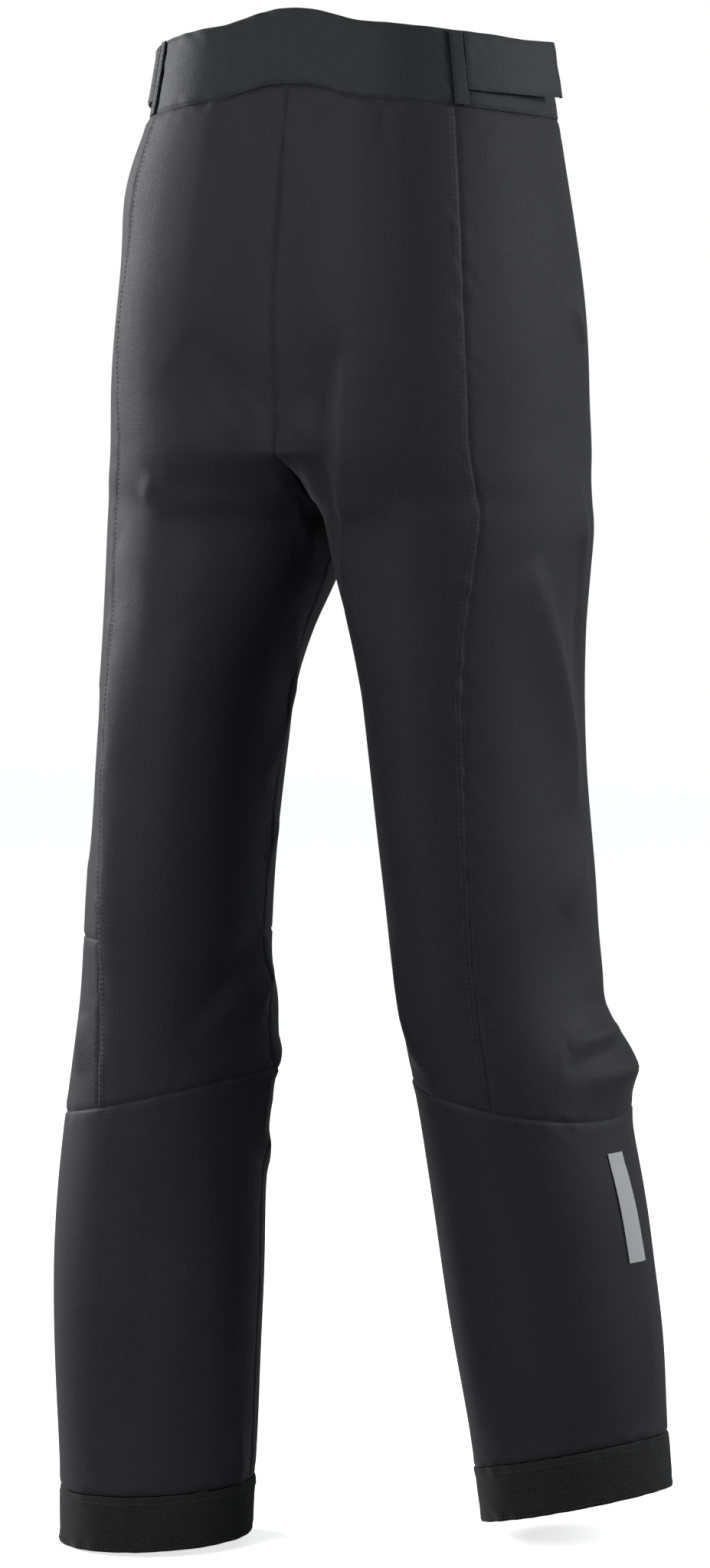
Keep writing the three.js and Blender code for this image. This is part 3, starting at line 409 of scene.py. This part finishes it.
def outer_net(node):
    """The outer face of a sheet in the frame as rows of points, and whether it goes right round."""
    net = bmesh.new()
    net.from_mesh(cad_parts[node].data)
    bmesh.ops.remove_doubles(net, verts=net.verts, dist=0.00005)
    net.normal_update()
    net.faces.ensure_lookup_table()
    waiting = set(range(len(net.faces)))
    patches = []
    while waiting:
        patch = [min(waiting)]
        waiting.discard(patch[0])
        for index in patch:
            for edge in net.faces[index].edges:
                if len(edge.link_faces) != 2 or edge.calc_face_angle() > math.radians(55):
                    continue
                for other in edge.link_faces:
                    if other.index in waiting:
                        waiting.discard(other.index)
                        patch.append(other.index)
        patches.append([net.faces[index] for index in patch])
    patches.sort(key=lambda patch: -sum(face.calc_area() for face in patch))

    def outwards(patch):
        total = 0
        for face in patch:
            centre = face.calc_center_median()
            total += face.calc_area() * face.normal.dot(centre - inside_point(centre, node))
        return total

    kept = set(max(patches[:2], key=outwards))
    bmesh.ops.delete(net, geom=[face for face in net.faces if face not in kept], context="FACES")

    def sharpness(vert):
        a, b = [(edge.other_vert(vert).co - vert.co).normalized()
                for edge in vert.link_edges if edge.is_boundary]
        return a.dot(b)

    rim = sorted((vert for vert in net.verts if vert.is_boundary), key=sharpness)
    round_about = sharpness(rim[-1]) < -0.6
    corners = [] if round_about else rim[-4:]

    def walk(start, first):
        line = [start, first]
        while line[-1] is not start and line[-1] not in corners:
            ahead = [edge.other_vert(line[-1]) for edge in line[-1].link_edges if edge.is_boundary]
            line.append(ahead[0] if ahead[0] is not line[-2] else ahead[1])
        return line

    if round_about:
        starts = [max((vert for vert in net.verts if vert.is_boundary), key=lambda vert: vert.co.z)]
    else:
        starts = corners
    sides = []
    for start in starts:
        for edge in start.link_edges:
            if edge.is_boundary:
                sides.append(walk(start, edge.other_vert(start)))
    row = max(sides, key=lambda line: sum(vert.co.z for vert in line) / len(line))
    if round_about:
        row = row[:-1]
    rows = []
    used = set()
    while row:
        rows.append(row)
        used.update(row)
        below = []
        for vert in row:
            for edge in vert.link_edges:
                other = edge.other_vert(vert)
                if other not in used and other not in below:
                    below.append(other)
        next_row = []
        if below:
            ends = [edge.other_vert(row[0]) for edge in row[0].link_edges]
            ends = [vert for vert in ends if vert in below]
            if not round_about:
                ends = [vert for vert in ends
                        if sum(edge.other_vert(vert) in below for edge in vert.link_edges) == 1]
            next_row.append(min(ends, key=lambda vert: (vert.co - row[0].co).length))
            below.remove(next_row[0])
        while below:
            linked = [edge.other_vert(next_row[-1]) for edge in next_row[-1].link_edges]
            linked = [vert for vert in linked if vert in below]
            aim = row[len(next_row) % len(row)].co
            next_row.append(min(linked, key=lambda vert: (vert.co - aim).length))
            below.remove(next_row[-1])
        row = next_row
    points = np.array([[vert.co[:] for vert in line] for line in rows])
    way = np.cross(points[1:, 0] - points[:-1, 0], points[1:, 1] - points[1:, 0]).sum(axis=0)
    lean = Vector(points[0, 0]) - inside_point(Vector(points[0, 0]), node)
    net.free()
    if np.dot(way, lean) < 0:
        points = points[:, ::-1]
    return points, round_about


def curve_through(knots, values, at):
    """A curve through the values at uneven knots, smooth but for turns sharper than about 50 degrees."""
    steps = np.diff(knots)
    shape = (-1,) + (1,) * (values.ndim - 1)
    slopes = np.diff(values, axis=0) / steps.reshape(shape)
    tangents = np.empty_like(values)
    before = steps[:-1].reshape(shape)
    after = steps[1:].reshape(shape)
    tangents[1:-1] = (after * slopes[:-1] + before * slopes[1:]) / (before + after)
    tangents[0] = 2 * slopes[0] - tangents[1] if len(values) > 2 else slopes[0]
    tangents[-1] = 2 * slopes[-1] - tangents[-2] if len(values) > 2 else slopes[-1]
    sizes = np.linalg.norm(slopes, axis=-1, keepdims=True) + 1e-12
    straight = np.ones(values.shape[:-1] + (1,))
    likeness = (slopes[:-1] * slopes[1:]).sum(axis=-1, keepdims=True) / (sizes[:-1] * sizes[1:])
    straight[1:-1] = np.clip((likeness - 0.57) / (0.87 - 0.57), 0, 1)
    leaving = straight[:-1] * tangents[:-1] + (1 - straight[:-1]) * slopes
    arriving = straight[1:] * tangents[1:] + (1 - straight[1:]) * slopes
    k = np.clip(np.searchsorted(knots, at, side="right") - 1, 0, len(knots) - 2)
    f = ((at - knots[k]) / steps[k]).reshape(shape)
    rise = f * f * (3 - 2 * f)
    bend = f * (1 - f) * steps[k].reshape(shape) * (leaving[k] * (1 - f) - arriving[k] * f)
    return values[k] * (1 - rise) + values[k + 1] * rise + bend


def lengths_along(points):
    """Distance run along the first axis of a grid of points."""
    run = np.linalg.norm(np.diff(points, axis=0), axis=2)
    return np.vstack([np.zeros(points.shape[1]), np.cumsum(run, axis=0)])


def respaced(points, spacing, rims):
    """The grid cut again along its first axis: narrow steps at both ends, even steps between."""
    run = lengths_along(points)
    count = max(3, int(round(run[-1].max() / spacing)))
    narrow = np.cumsum((0,) + rims)
    result = []
    spots = []
    for column in range(points.shape[1]):
        length = run[-1, column]
        inner = np.linspace(narrow[-1], length - narrow[-1], count)
        spot = np.concatenate([narrow[:-1], inner, (length - narrow[:-1])[::-1]])
        line = [np.interp(spot, run[:, column], points[:, column, axis]) for axis in range(3)]
        result.append(np.stack(line, axis=1))
        spots.append(spot)
    return np.stack(result, axis=1), np.stack(spots, axis=1)


def cut_cloth(node, spacing, rims):
    """The smooth outer face of a sheet as a fine grid, with each point's place on the flat cloth
    and its distance from the nearest edge."""
    coarse, round_about = outer_net(node)
    if round_about:
        coarse = np.concatenate([coarse[:, -3:], coarse, coarse[:, :4]], axis=1)
    run = lengths_along(coarse).mean(axis=1)
    at = np.linspace(0, run[-1], max(4, int(run[-1] / (spacing * 0.6))))
    tall = curve_through(run, coarse, at)
    across = tall.transpose(1, 0, 2)
    run = lengths_along(across).mean(axis=1)
    first, last = (run[3], run[-4]) if round_about else (run[0], run[-1])
    at = np.linspace(first, last, max(4, int((last - first) / (spacing * 0.6))))
    wide = curve_through(run, across, at)
    wide, sideways = respaced(wide, spacing, () if round_about else rims)
    fine, downwards = respaced(wide.transpose(1, 0, 2), spacing, rims)
    sideways = np.broadcast_to(sideways.mean(axis=1), fine.shape[:2])
    away = np.minimum(downwards, downwards[-1] - downwards)
    if not round_about:
        away = np.minimum(away, np.minimum(sideways, sideways[:, -1:] - sideways))
    return fine, np.stack([sideways, downwards], axis=2), away, round_about


def unit(vectors):
    return vectors / np.maximum(np.linalg.norm(vectors, axis=-1, keepdims=True), 1e-12)


def grid_normals(grid, round_about):
    if round_about:
        ring = np.concatenate([grid[:, -2:-1], grid, grid[:, 1:2]], axis=1)
        across = np.gradient(ring, axis=1)[:, 1:-1]
    else:
        across = np.gradient(grid, axis=1)
    return unit(np.cross(np.gradient(grid, axis=0), across))


def hung(grid, away, round_about, folds=1.0, pucker=0.00035, sink=0.001, lift=0.0, spill=0.0004):
    """Gives the cloth its folds, its puckers along the seams, and its turned-in edges."""
    normals = grid_normals(grid, round_about)
    points = grid.reshape(-1, 3)
    flat_normals = normals.reshape(-1, 3)
    edge = away.reshape(-1)
    height = np.full(len(points), lift)
    if folds:
        height += folds * fold_height(points, flat_normals)
    if pucker:
        wave = waves(points, pucker_way, pucker_length, pucker_start)
        height += pucker * wave * np.exp(-((edge / 0.009) ** 2))
    height -= sink * np.exp(-((edge / 0.0011) ** 1.4))
    moved = (points + flat_normals * height[:, None]).reshape(grid.shape)
    if spill:
        moved[0] += spill * unit(grid[0] - grid[1])
        moved[-1] += spill * unit(grid[-1] - grid[-2])
        if not round_about:
            moved[:, 0] += spill * unit(grid[:, 0] - grid[:, 1])
            moved[:, -1] += spill * unit(grid[:, -1] - grid[:, -2])
    return moved


def sheet_mesh(name, outer, inner, flat, round_about):
    """A closed mesh between an outer and an inner grid, with the flat cloth as its UV map."""
    rows, columns = outer.shape[:2]
    if round_about:
        columns -= 1
        outer = outer[:, :-1]
        inner = inner[:, :-1]
    layer = rows * columns
    row, column = np.meshgrid(np.arange(rows - 1), np.arange(columns if round_about else columns - 1),
                              indexing="ij")
    row = row.ravel()
    column = column.ravel()
    right = (column + 1) % columns
    skin = np.stack([row * columns + column, (row + 1) * columns + column,
                     (row + 1) * columns + right, row * columns + right], axis=1)
    faces = [skin, skin[:, ::-1] + layer]

    def rim(line):
        a = line[:-1]
        b = line[1:]
        return np.stack([a, b, b + layer, a + layer], axis=1)

    top = np.arange(columns)
    bottom = top[::-1] + (rows - 1) * columns
    if round_about:
        top = np.append(top, 0)
        bottom = np.append(bottom, bottom[0])
    faces += [rim(top), rim(bottom)]
    if not round_about:
        left = (np.arange(rows) * columns)[::-1]
        faces += [rim(left), rim(left[::-1] + columns - 1)]
    faces = np.concatenate(faces)
    mesh = bpy.data.meshes.new(name)
    mesh.from_pydata(np.concatenate([outer.reshape(-1, 3), inner.reshape(-1, 3)]), [], faces.tolist())
    place = np.concatenate([flat[:, :columns].reshape(-1, 2)] * 2)
    weave = mesh.uv_layers.new(name="weave")
    weave.uv.foreach_set("vector", place[faces.ravel()].astype(np.float32).ravel())
    mesh.update()
    return mesh


def use_only(piece):
    bpy.ops.object.select_all(action="DESELECT")
    bpy.context.view_layer.objects.active = piece
    piece.select_set(True)


def add_piece(mesh, material, body):
    """Puts a finished mesh in the scene, with its finish, on its body."""
    piece = bpy.data.objects.new(mesh.name, mesh)
    bpy.context.collection.objects.link(piece)
    use_only(piece)
    bpy.ops.object.shade_smooth_by_angle(angle=math.radians(50))
    mesh.materials.append(material)
    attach(piece, body)
    return piece


finished_cloth = {}


def cloth_piece(node, thickness, material, slot, spacing=0.0032, rims=(0.0008, 0.0014, 0.0028),
                body="garment", **hanging):
    """One cut piece of cloth that stands for its sheet in the frame."""
    grid, flat, away, round_about = cut_cloth(node, spacing, rims)
    outer = hung(grid, away, round_about, **hanging)
    normals = grid_normals(outer, round_about)
    inner = outer - thickness * normals
    finished_cloth[node] = (outer, normals, flat, round_about)
    piece = add_piece(sheet_mesh("cloth_" + node, outer, inner, flat, round_about), material, body)
    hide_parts(node)
    return piece


# width and length of the cut, and its flat area
SHELL_CUTS = {
    "back_panel_left": ((0.19, 0.71), 0.103),
    "back_panel_right": ((0.19, 0.71), 0.103),
    "side_panel_left": ((0.20, 0.57), 0.105),
    "side_panel_right": ((0.20, 0.69), 0.126),
    "front_panel_left": ((0.18, 0.56), 0.080),
    "front_panel_right": ((0.18, 0.56), 0.079),
    "knee_panel_left": ((0.31, 0.125), 0.035),
    "knee_panel_right": ((0.16, 0.115), 0.0145),
    "lower_back_panel_left": ((0.30, 0.29), 0.082),
    "lower_back_panel_right": ((0.28, 0.285), 0.075),
    "lower_front_panel_left": ((0.14, 0.29), 0.038),
    "lower_front_panel_right": ((0.14, 0.285), 0.0365),
}
HANGS_FROM = {
    "back_panel": "waistband_back", "side_panel": "waistband_side", "front_panel": "waistband_front",
    "knee_panel": "front_panel", "lower_back_panel": "back_panel", "lower_front_panel": "knee_panel",
}
for node, (flat, area) in SHELL_CUTS.items():
    piece = cloth_piece(node, SHELL, softshell, "softshell")
    kind, side = node.rsplit("_", 1)
    above = HANGS_FROM[kind]
    above = above if above == "waistband_back" else f"{above}_{side}"

# ---------------------------------------------------------------- hem cuffs
# A blacker, scuff-proof twill band faces the bottom of each leg. It is sewn round under the edge of
# the shell, which puckers a little over it, and is stitched again near its top.
TWILL_RIB = 0.0013


def woven_material(name, dark, light, rib, slant, relief, sheen, roughness):
    """A cloth with visible ribs that follow its own flat map, over the shared grain."""
    material = cloth_material(name, dark, light, 700, 0.5, relief * 0.5, sheen, (0.8, 0.8, 0.82))
    nodes = material.node_tree.nodes
    wires = material.node_tree.links
    shader = nodes["Principled BSDF"]
    flat = nodes.new("ShaderNodeUVMap")
    flat.uv_map = "weave"
    turn = nodes.new("ShaderNodeMapping")
    turn.inputs["Rotation"].default_value = (0, 0, slant)
    rows = nodes.new("ShaderNodeTexWave")
    rows.inputs["Scale"].default_value = 0.314 / rib
    rows.inputs["Distortion"].default_value = 0.6
    rows.inputs["Detail"].default_value = 1
    wires.new(flat.outputs["UV"], turn.inputs["Vector"])
    wires.new(turn.outputs["Vector"], rows.inputs["Vector"])
    bump = nodes["Bump"]
    grain = nodes["Group"]
    both = nodes.new("ShaderNodeMath")
    both.operation = "MULTIPLY_ADD"
    both.inputs[1].default_value = 0.35
    wires.new(grain.outputs["Height"], both.inputs[0])
    wires.new(rows.outputs["Fac"], both.inputs[2])
    wires.new(both.outputs["Value"], bump.inputs["Height"])
    bump.inputs["Distance"].default_value = relief
    shade = nodes.new("ShaderNodeMix")
    shade.data_type = "RGBA"
    shade.blend_type = "MULTIPLY"
    shade.inputs["Factor"].default_value = 0.55
    wires.new(grain.outputs["Color"], shade.inputs["A"])
    wires.new(rows.outputs["Color"], shade.inputs["B"])
    wires.new(shade.outputs["Result"], shader.inputs["Base Color"])
    for link in list(shader.inputs["Roughness"].links):
        wires.remove(link)
    shader.inputs["Roughness"].default_value = roughness
    return material


cuff_twill = woven_material("cuff_twill", (0.010, 0.010, 0.0105), (0.030, 0.030, 0.031), TWILL_RIB,
                            math.radians(40), 0.0004, 0.12, 0.78)
for side in ("left", "right"):
    piece = cloth_piece(f"hem_cuff_{side}", 0.0026, cuff_twill, "cuff_twill", spacing=0.003,
                        folds=1.0, pucker=0.0005, sink=0.0006, spill=0.0)

# ---------------------------------------------------------------- waistband
# A doubled band of the shell cloth runs round the waist in five lengths, with a plain facing inside.
# Narrow strips cover its two joins at the back, and the flap at the front laps over the ends.
# The band, its strips, the flap and the underlap use the shell cloth made lighter: painted light for the
# extra light that falls on the waist from above.
band_shell_painted_lighter = cloth_material(
    "waistband_shell_painted_lighter", (0.0155, 0.016, 0.020), (0.030, 0.031, 0.036), 900, 0.8, 0.00025, 0.16,
    (0.75, 0.76, 0.85)
)
BAND_CUTS = [
    ("waistband_back", (0.235, 0.05)),
    ("waistband_side_left", (0.187, 0.05)),
    ("waistband_side_right", (0.187, 0.05)),
    ("waistband_front_left", (0.071, 0.05)),
    ("waistband_front_right", (0.071, 0.05)),
]
for node, flat in BAND_CUTS:
    piece = cloth_piece(node, 0.0024, band_shell_painted_lighter, "softshell", spacing=0.003, folds=0.0,
                        pucker=0.00045, sink=0.0009)
for side in ("left", "right"):
    piece = cloth_piece(f"waistband_strip_{side}", 0.0014, band_shell_painted_lighter, "softshell", spacing=0.0015,
                        rims=(0.0006, 0.0012), folds=0.0, pucker=0.0001, sink=0.0003, spill=0.0)
piece = cloth_piece("closure_flap", 0.0022, band_shell_painted_lighter, "softshell", spacing=0.002,
                    body="closure_flap", folds=0.0, pucker=0.0003, sink=0.0005, spill=0.0)
piece = cloth_piece("closure_underlap", 0.0018, band_shell_painted_lighter, "softshell", spacing=0.002,
                    folds=0.0, pucker=0.0002, sink=0.0004, spill=0.0)

# ---------------------------------------------------------------- waist tabs
# A stitched tab on each side pulls the waist in. Its free end peels forward and is held by a
# patch of hooks on its inner face against a patch of loops on the band.
hook_cloth = cloth_material(
    "hook_and_loop", (0.006, 0.006, 0.007), (0.035, 0.035, 0.037), 1500, 0.4, 0.0008, 0.4, (0.8, 0.8, 0.8)
)
# The tab is the shell cloth made lighter still: painted light for the light it catches where it stands
# proud of the band.
tab_shell_painted_lighter = cloth_material(
    "tab_shell_painted_lighter", (0.020, 0.0205, 0.025), (0.040, 0.041, 0.047), 900, 0.6, 0.00025, 0.2, (0.76, 0.77, 0.85)
)
for side in ("left", "right"):
    tab = f"adjuster_tab_{side}"
    piece = cloth_piece(tab, 0.0022, tab_shell_painted_lighter, "softshell", spacing=0.002, body=tab,
                        folds=0.0, pucker=0.00025, sink=0.0005, spill=0.0)
    hooks = cloth_piece(f"hook_patch_{side}", 0.0005, hook_cloth, "hook_and_loop", spacing=0.0015,
                        rims=(0.0006,), body=tab, folds=0.0, pucker=0.0, sink=0.0, spill=0.0)
    loops = cloth_piece(f"loop_patch_{side}", 0.0005, hook_cloth, "hook_and_loop", spacing=0.0015,
                        rims=(0.0006,), folds=0.0, pucker=0.0001, sink=0.0, spill=0.0)

# ---------------------------------------------------------------- topstitching
# The seams are pressed to one side and held down by rows of thread, worked as separate stitches
# that sink into the cloth at both ends.
STITCH_LENGTH = 0.0026
STITCH_PITCH = 0.0034
THREAD_RADIUS = 0.00026
thread = cloth_material(
    "sewing_thread", (0.022, 0.022, 0.025), (0.060, 0.060, 0.066), 2500, 0.3, 0.0001, 0.25, (0.8, 0.8, 0.85)
)


def seam_line(node, edge, step):
    """The line on the finished cloth that runs beside one of its edges, and its normals."""
    outer, normals, flat, round_about = finished_cloth[node]
    pick = {
        "first": np.s_[:, step],
        "last": np.s_[:, -1 - step],
        "top": np.s_[step, :],
        "bottom": np.s_[-1 - step, :],
    }[edge]
    return outer[pick], normals[pick]


def stitches(name, rows, body="garment", material=thread):
    """Rows of single stitches along lines on the cloth, joined as one piece."""
    verts = []
    faces = []
    angles = np.arange(6) * math.pi / 3
    profile = [(-0.5, 0.4, -0.9), (-0.3, 1.0, 0.1), (0.3, 1.0, 0.1), (0.5, 0.4, -0.9)]
    for line, normals in rows:
        run = np.concatenate([[0], np.cumsum(np.linalg.norm(np.diff(line, axis=0), axis=1))])
        spots = np.arange(STITCH_PITCH, run[-1] - STITCH_PITCH, STITCH_PITCH)
        middle = np.stack([np.interp(spots, run, line[:, axis]) for axis in range(3)], axis=1)
        ahead = np.stack([np.interp(spots + 0.0005, run, line[:, axis]) for axis in range(3)], axis=1)
        along = unit(ahead - middle)
        up = unit(np.stack([np.interp(spots, run, normals[:, axis]) for axis in range(3)], axis=1))
        across = np.cross(along, up)
        for m, a, u, c in zip(middle, along, up, across):
            start = len(verts)
            for share, thick, rise in profile:
                ring = m + a * share * STITCH_LENGTH + u * rise * THREAD_RADIUS
                for angle in angles:
                    verts.append(ring + thick * THREAD_RADIUS * (math.cos(angle) * c + math.sin(angle) * u))
            for k in range(3):
                for j in range(6):
                    p = start + 6 * k + j
                    q = start + 6 * k + (j + 1) % 6
                    faces.append((p, p + 6, q + 6, q))
            faces.append(tuple(start + j for j in range(6)))
            faces.append(tuple(start + 18 + j for j in reversed(range(6))))
    mesh = bpy.data.meshes.new(name)
    mesh.from_pydata([tuple(vert) for vert in verts], [], faces)
    mesh.update()
    return add_piece(mesh, material, body)


stitches("thread_centre_back", [
    seam_line("back_panel_left", "last", 2), seam_line("back_panel_left", "last", 3),
])
for side in ("left", "right"):
    outer_edge = "first" if side == "left" else "last"
    inner_edge = "last" if side == "left" else "first"
    stitches(f"thread_outseam_{side}", [
        seam_line(f"back_panel_{side}", outer_edge, 2), seam_line(f"back_panel_{side}", outer_edge, 3),
    ])
    stitches(f"thread_side_front_{side}", [
        seam_line(f"front_panel_{side}", inner_edge, 2), seam_line(f"front_panel_{side}", inner_edge, 3),
    ])
    stitches(f"thread_calf_{side}", [
        seam_line(f"lower_back_panel_{side}", "top", 2), seam_line(f"lower_front_panel_{side}", "top", 2),
        seam_line(f"knee_panel_{side}", "top", 2),
    ])
    stitches(f"thread_cuff_{side}", [
        seam_line(f"hem_cuff_{side}", "top", 3), seam_line(f"hem_cuff_{side}", "bottom", 2),
    ])
    stitches(f"thread_band_{side}", [
        seam_line(f"waistband_side_{side}", "bottom", 2), seam_line(f"waistband_side_{side}", "top", 2),
        seam_line(f"waistband_front_{side}", "bottom", 2), seam_line(f"waistband_front_{side}", "top", 2),
    ])
    stitches(f"thread_strip_{side}", [
        seam_line(f"waistband_strip_{side}", "first", 2), seam_line(f"waistband_strip_{side}", "last", 2),
    ])
    stitches(f"thread_tab_{side}", [
        seam_line(f"adjuster_tab_{side}", edge, 2) for edge in ("top", "bottom", "first", "last")
    ], body=f"adjuster_tab_{side}")
stitches("thread_band_back", [
    seam_line("waistband_back", "bottom", 2), seam_line("waistband_back", "top", 2),
])
stitches("thread_flap", [
    seam_line("closure_flap", edge, 2) for edge in ("top", "bottom", "first", "last")
], body="closure_flap")

# ---------------------------------------------------------------- zips
# The fly and both hand pockets close with coil zips: two rows of interlocked nylon coils sewn to
# woven tape, a metal slider that runs on them, and a hinged pull.
zip_tape_cloth = woven_material("zip_tape", (0.006, 0.006, 0.0065), (0.018, 0.018, 0.019), 0.0012, 0.0,
                                0.0003, 0.1, 0.8)
coil_plastic = cloth_material(
    "zip_coil", (0.006, 0.006, 0.007), (0.012, 0.012, 0.013), 600, 0.3, 0.00005, 0.0, (1, 1, 1)
)
dark_metal = cloth_material(
    "dark_metal", (0.05, 0.05, 0.052), (0.11, 0.11, 0.115), 350, 0.6, 0.00004, 0.0, (1, 1, 1)
)
dark_metal.node_tree.nodes["Principled BSDF"].inputs["Metallic"].default_value = 1.0


def finish_node(node, material):
    """A piece of the frame whose shape is right keeps it, and gets its finish."""
    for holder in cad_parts[node].material_slots:
        holder.material = material


COIL_PITCH = 0.0021
bpy.ops.object.select_all(action="DESELECT")
bpy.ops.mesh.primitive_cube_add(size=1)
tooth = bpy.context.object
tooth.name = "zip_tooth"
tooth.scale = (0.0028, 0.0011, 0.0022)
bpy.ops.object.transform_apply(location=False, rotation=False, scale=True)
rounding = tooth.modifiers.new("rounding", "BEVEL")
rounding.width = 0.0004
rounding.segments = 1
use_only(tooth)
bpy.ops.object.modifier_apply(modifier="rounding")
tooth_points = np.array([vert.co[:] for vert in tooth.data.vertices])
tooth_faces = [tuple(face.vertices) for face in tooth.data.polygons]
bpy.data.objects.remove(tooth)

for zip_name in ("fly_zip", "pocket_zip_left", "pocket_zip_right"):
    tape = cloth_piece(f"{zip_name}_tape", 0.0008, zip_tape_cloth, "zip_tape", spacing=0.003,
                       rims=(0.0006,), folds=0.0, pucker=0.0, sink=0.0, spill=0.0)
    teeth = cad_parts[f"{zip_name}_teeth"]
    corners = np.unique(np.round([vert.co[:] for vert in teeth.data.vertices], 6), axis=0)
    centre = corners.mean(axis=0)
    spread, ways = np.linalg.eigh(np.cov((corners - centre).T))
    down = ways[:, 2] * (-1 if ways[2, 2] > 0 else 1)
    across = ways[:, 1]
    proud = np.cross(down, across)
    length = np.ptp((corners - centre) @ down)
    count = int(length / COIL_PITCH)
    verts = []
    faces = []
    for k in range(count):
        for half in (-1, 1):
            start = len(verts)
            run = (k + 0.5 + 0.25 * half) * length / count - length / 2
            middle = centre + down * run + across * half * 0.0011
            for x, y, z in tooth_points:
                verts.append(tuple(middle + across * x + down * y * 0.85 + proud * z * 0.95))
            faces += [tuple(start + index for index in face) for face in tooth_faces]
    coil = bpy.data.meshes.new(f"{zip_name}_coils")
    coil.from_pydata(verts, [], faces)
    if np.dot(np.cross(across, down), proud) < 0:
        coil.flip_normals()
    coil.update()
    piece = add_piece(coil, coil_plastic, "garment")
    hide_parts(f"{zip_name}_teeth")
    finish_node(f"{zip_name}_slider", dark_metal)
    finish_node(f"{zip_name}_pull", dark_metal)

# ---------------------------------------------------------------- snaps
# Two press studs hold the flap: domed metal caps on the flap over studs on the underlap.
for node in ("snap_cap_1", "snap_cap_2", "snap_stud_1", "snap_stud_2"):
    finish_node(node, dark_metal)

# ---------------------------------------------------------------- inside: facing, lining, gaiters
# A thin knit lining hangs inside each leg from the waistband facing. Snow gaiters of light nylon
# are sewn in at the bottom and end in gathered elastic; pocket bags and a zip shield are sewn flat.
lining_knit = woven_material("lining_knit", (0.030, 0.032, 0.038), (0.060, 0.063, 0.072), 0.002,
                             math.radians(90), 0.0003, 0.25, 0.75)
gaiter_nylon = woven_material("gaiter_nylon", (0.012, 0.012, 0.014), (0.024, 0.024, 0.027), 0.0009, 0.0,
                              0.00015, 0.1, 0.45)
elastic_rib = woven_material("elastic", (0.007, 0.007, 0.0075), (0.022, 0.022, 0.023), 0.0018, 0.0,
                             0.0005, 0.1, 0.85)
piece = cloth_piece("waistband_facing", 0.001, elastic_rib, "elastic", spacing=0.004,
                    folds=0.0, pucker=0.0002, sink=0.0, spill=0.0)
for side in ("left", "right"):
    piece = cloth_piece(f"lining_{side}", 0.001, lining_knit, "lining_knit", spacing=0.006,
                        rims=(0.002,), folds=1.0, pucker=0.0, sink=0.0, lift=-0.0008, spill=0.0)
    piece = cloth_piece(f"snow_gaiter_{side}", 0.0006, gaiter_nylon, "gaiter_nylon", spacing=0.004,
                        rims=(0.001,), folds=0.0, pucker=0.0004, sink=0.0, spill=0.0)
    piece = cloth_piece(f"gaiter_elastic_{side}", 0.0016, elastic_rib, "elastic", spacing=0.002,
                        rims=(0.0006,), folds=0.0, pucker=0.0004, sink=0.0, spill=0.0)
    piece = cloth_piece(f"pocket_bag_{side}", 0.0009, lining_knit, "lining_knit", spacing=0.004,
                        rims=(0.001,), folds=0.0, pucker=0.0002, sink=0.0, spill=0.0)
    piece = cloth_piece(f"hanger_loop_{side}", 0.0012, zip_tape_cloth, "zip_tape", spacing=0.0015,
                        rims=(0.0006,), folds=0.0, pucker=0.0, sink=0.0, spill=0.0)
piece = cloth_piece("fly_shield", 0.0012, lining_knit, "lining_knit", spacing=0.003,
                    folds=0.0, pucker=0.0002, sink=0.0, spill=0.0)

# ---------------------------------------------------------------- reflective mark
# A plain bar of silver reflective film is heat-pressed on the outside of the right calf.
film = cloth_material(
    "reflective_film", (0.42, 0.425, 0.42), (0.50, 0.505, 0.50), 1800, 0.3, 0.00005, 0.0, (1, 1, 1)
)
piece = cloth_piece("reflective_mark", 0.0005, film, "reflective_film", spacing=0.002,
                    rims=(0.0006,), folds=1.0, pucker=0.0, sink=0.0, lift=0.0002, spill=0.0)
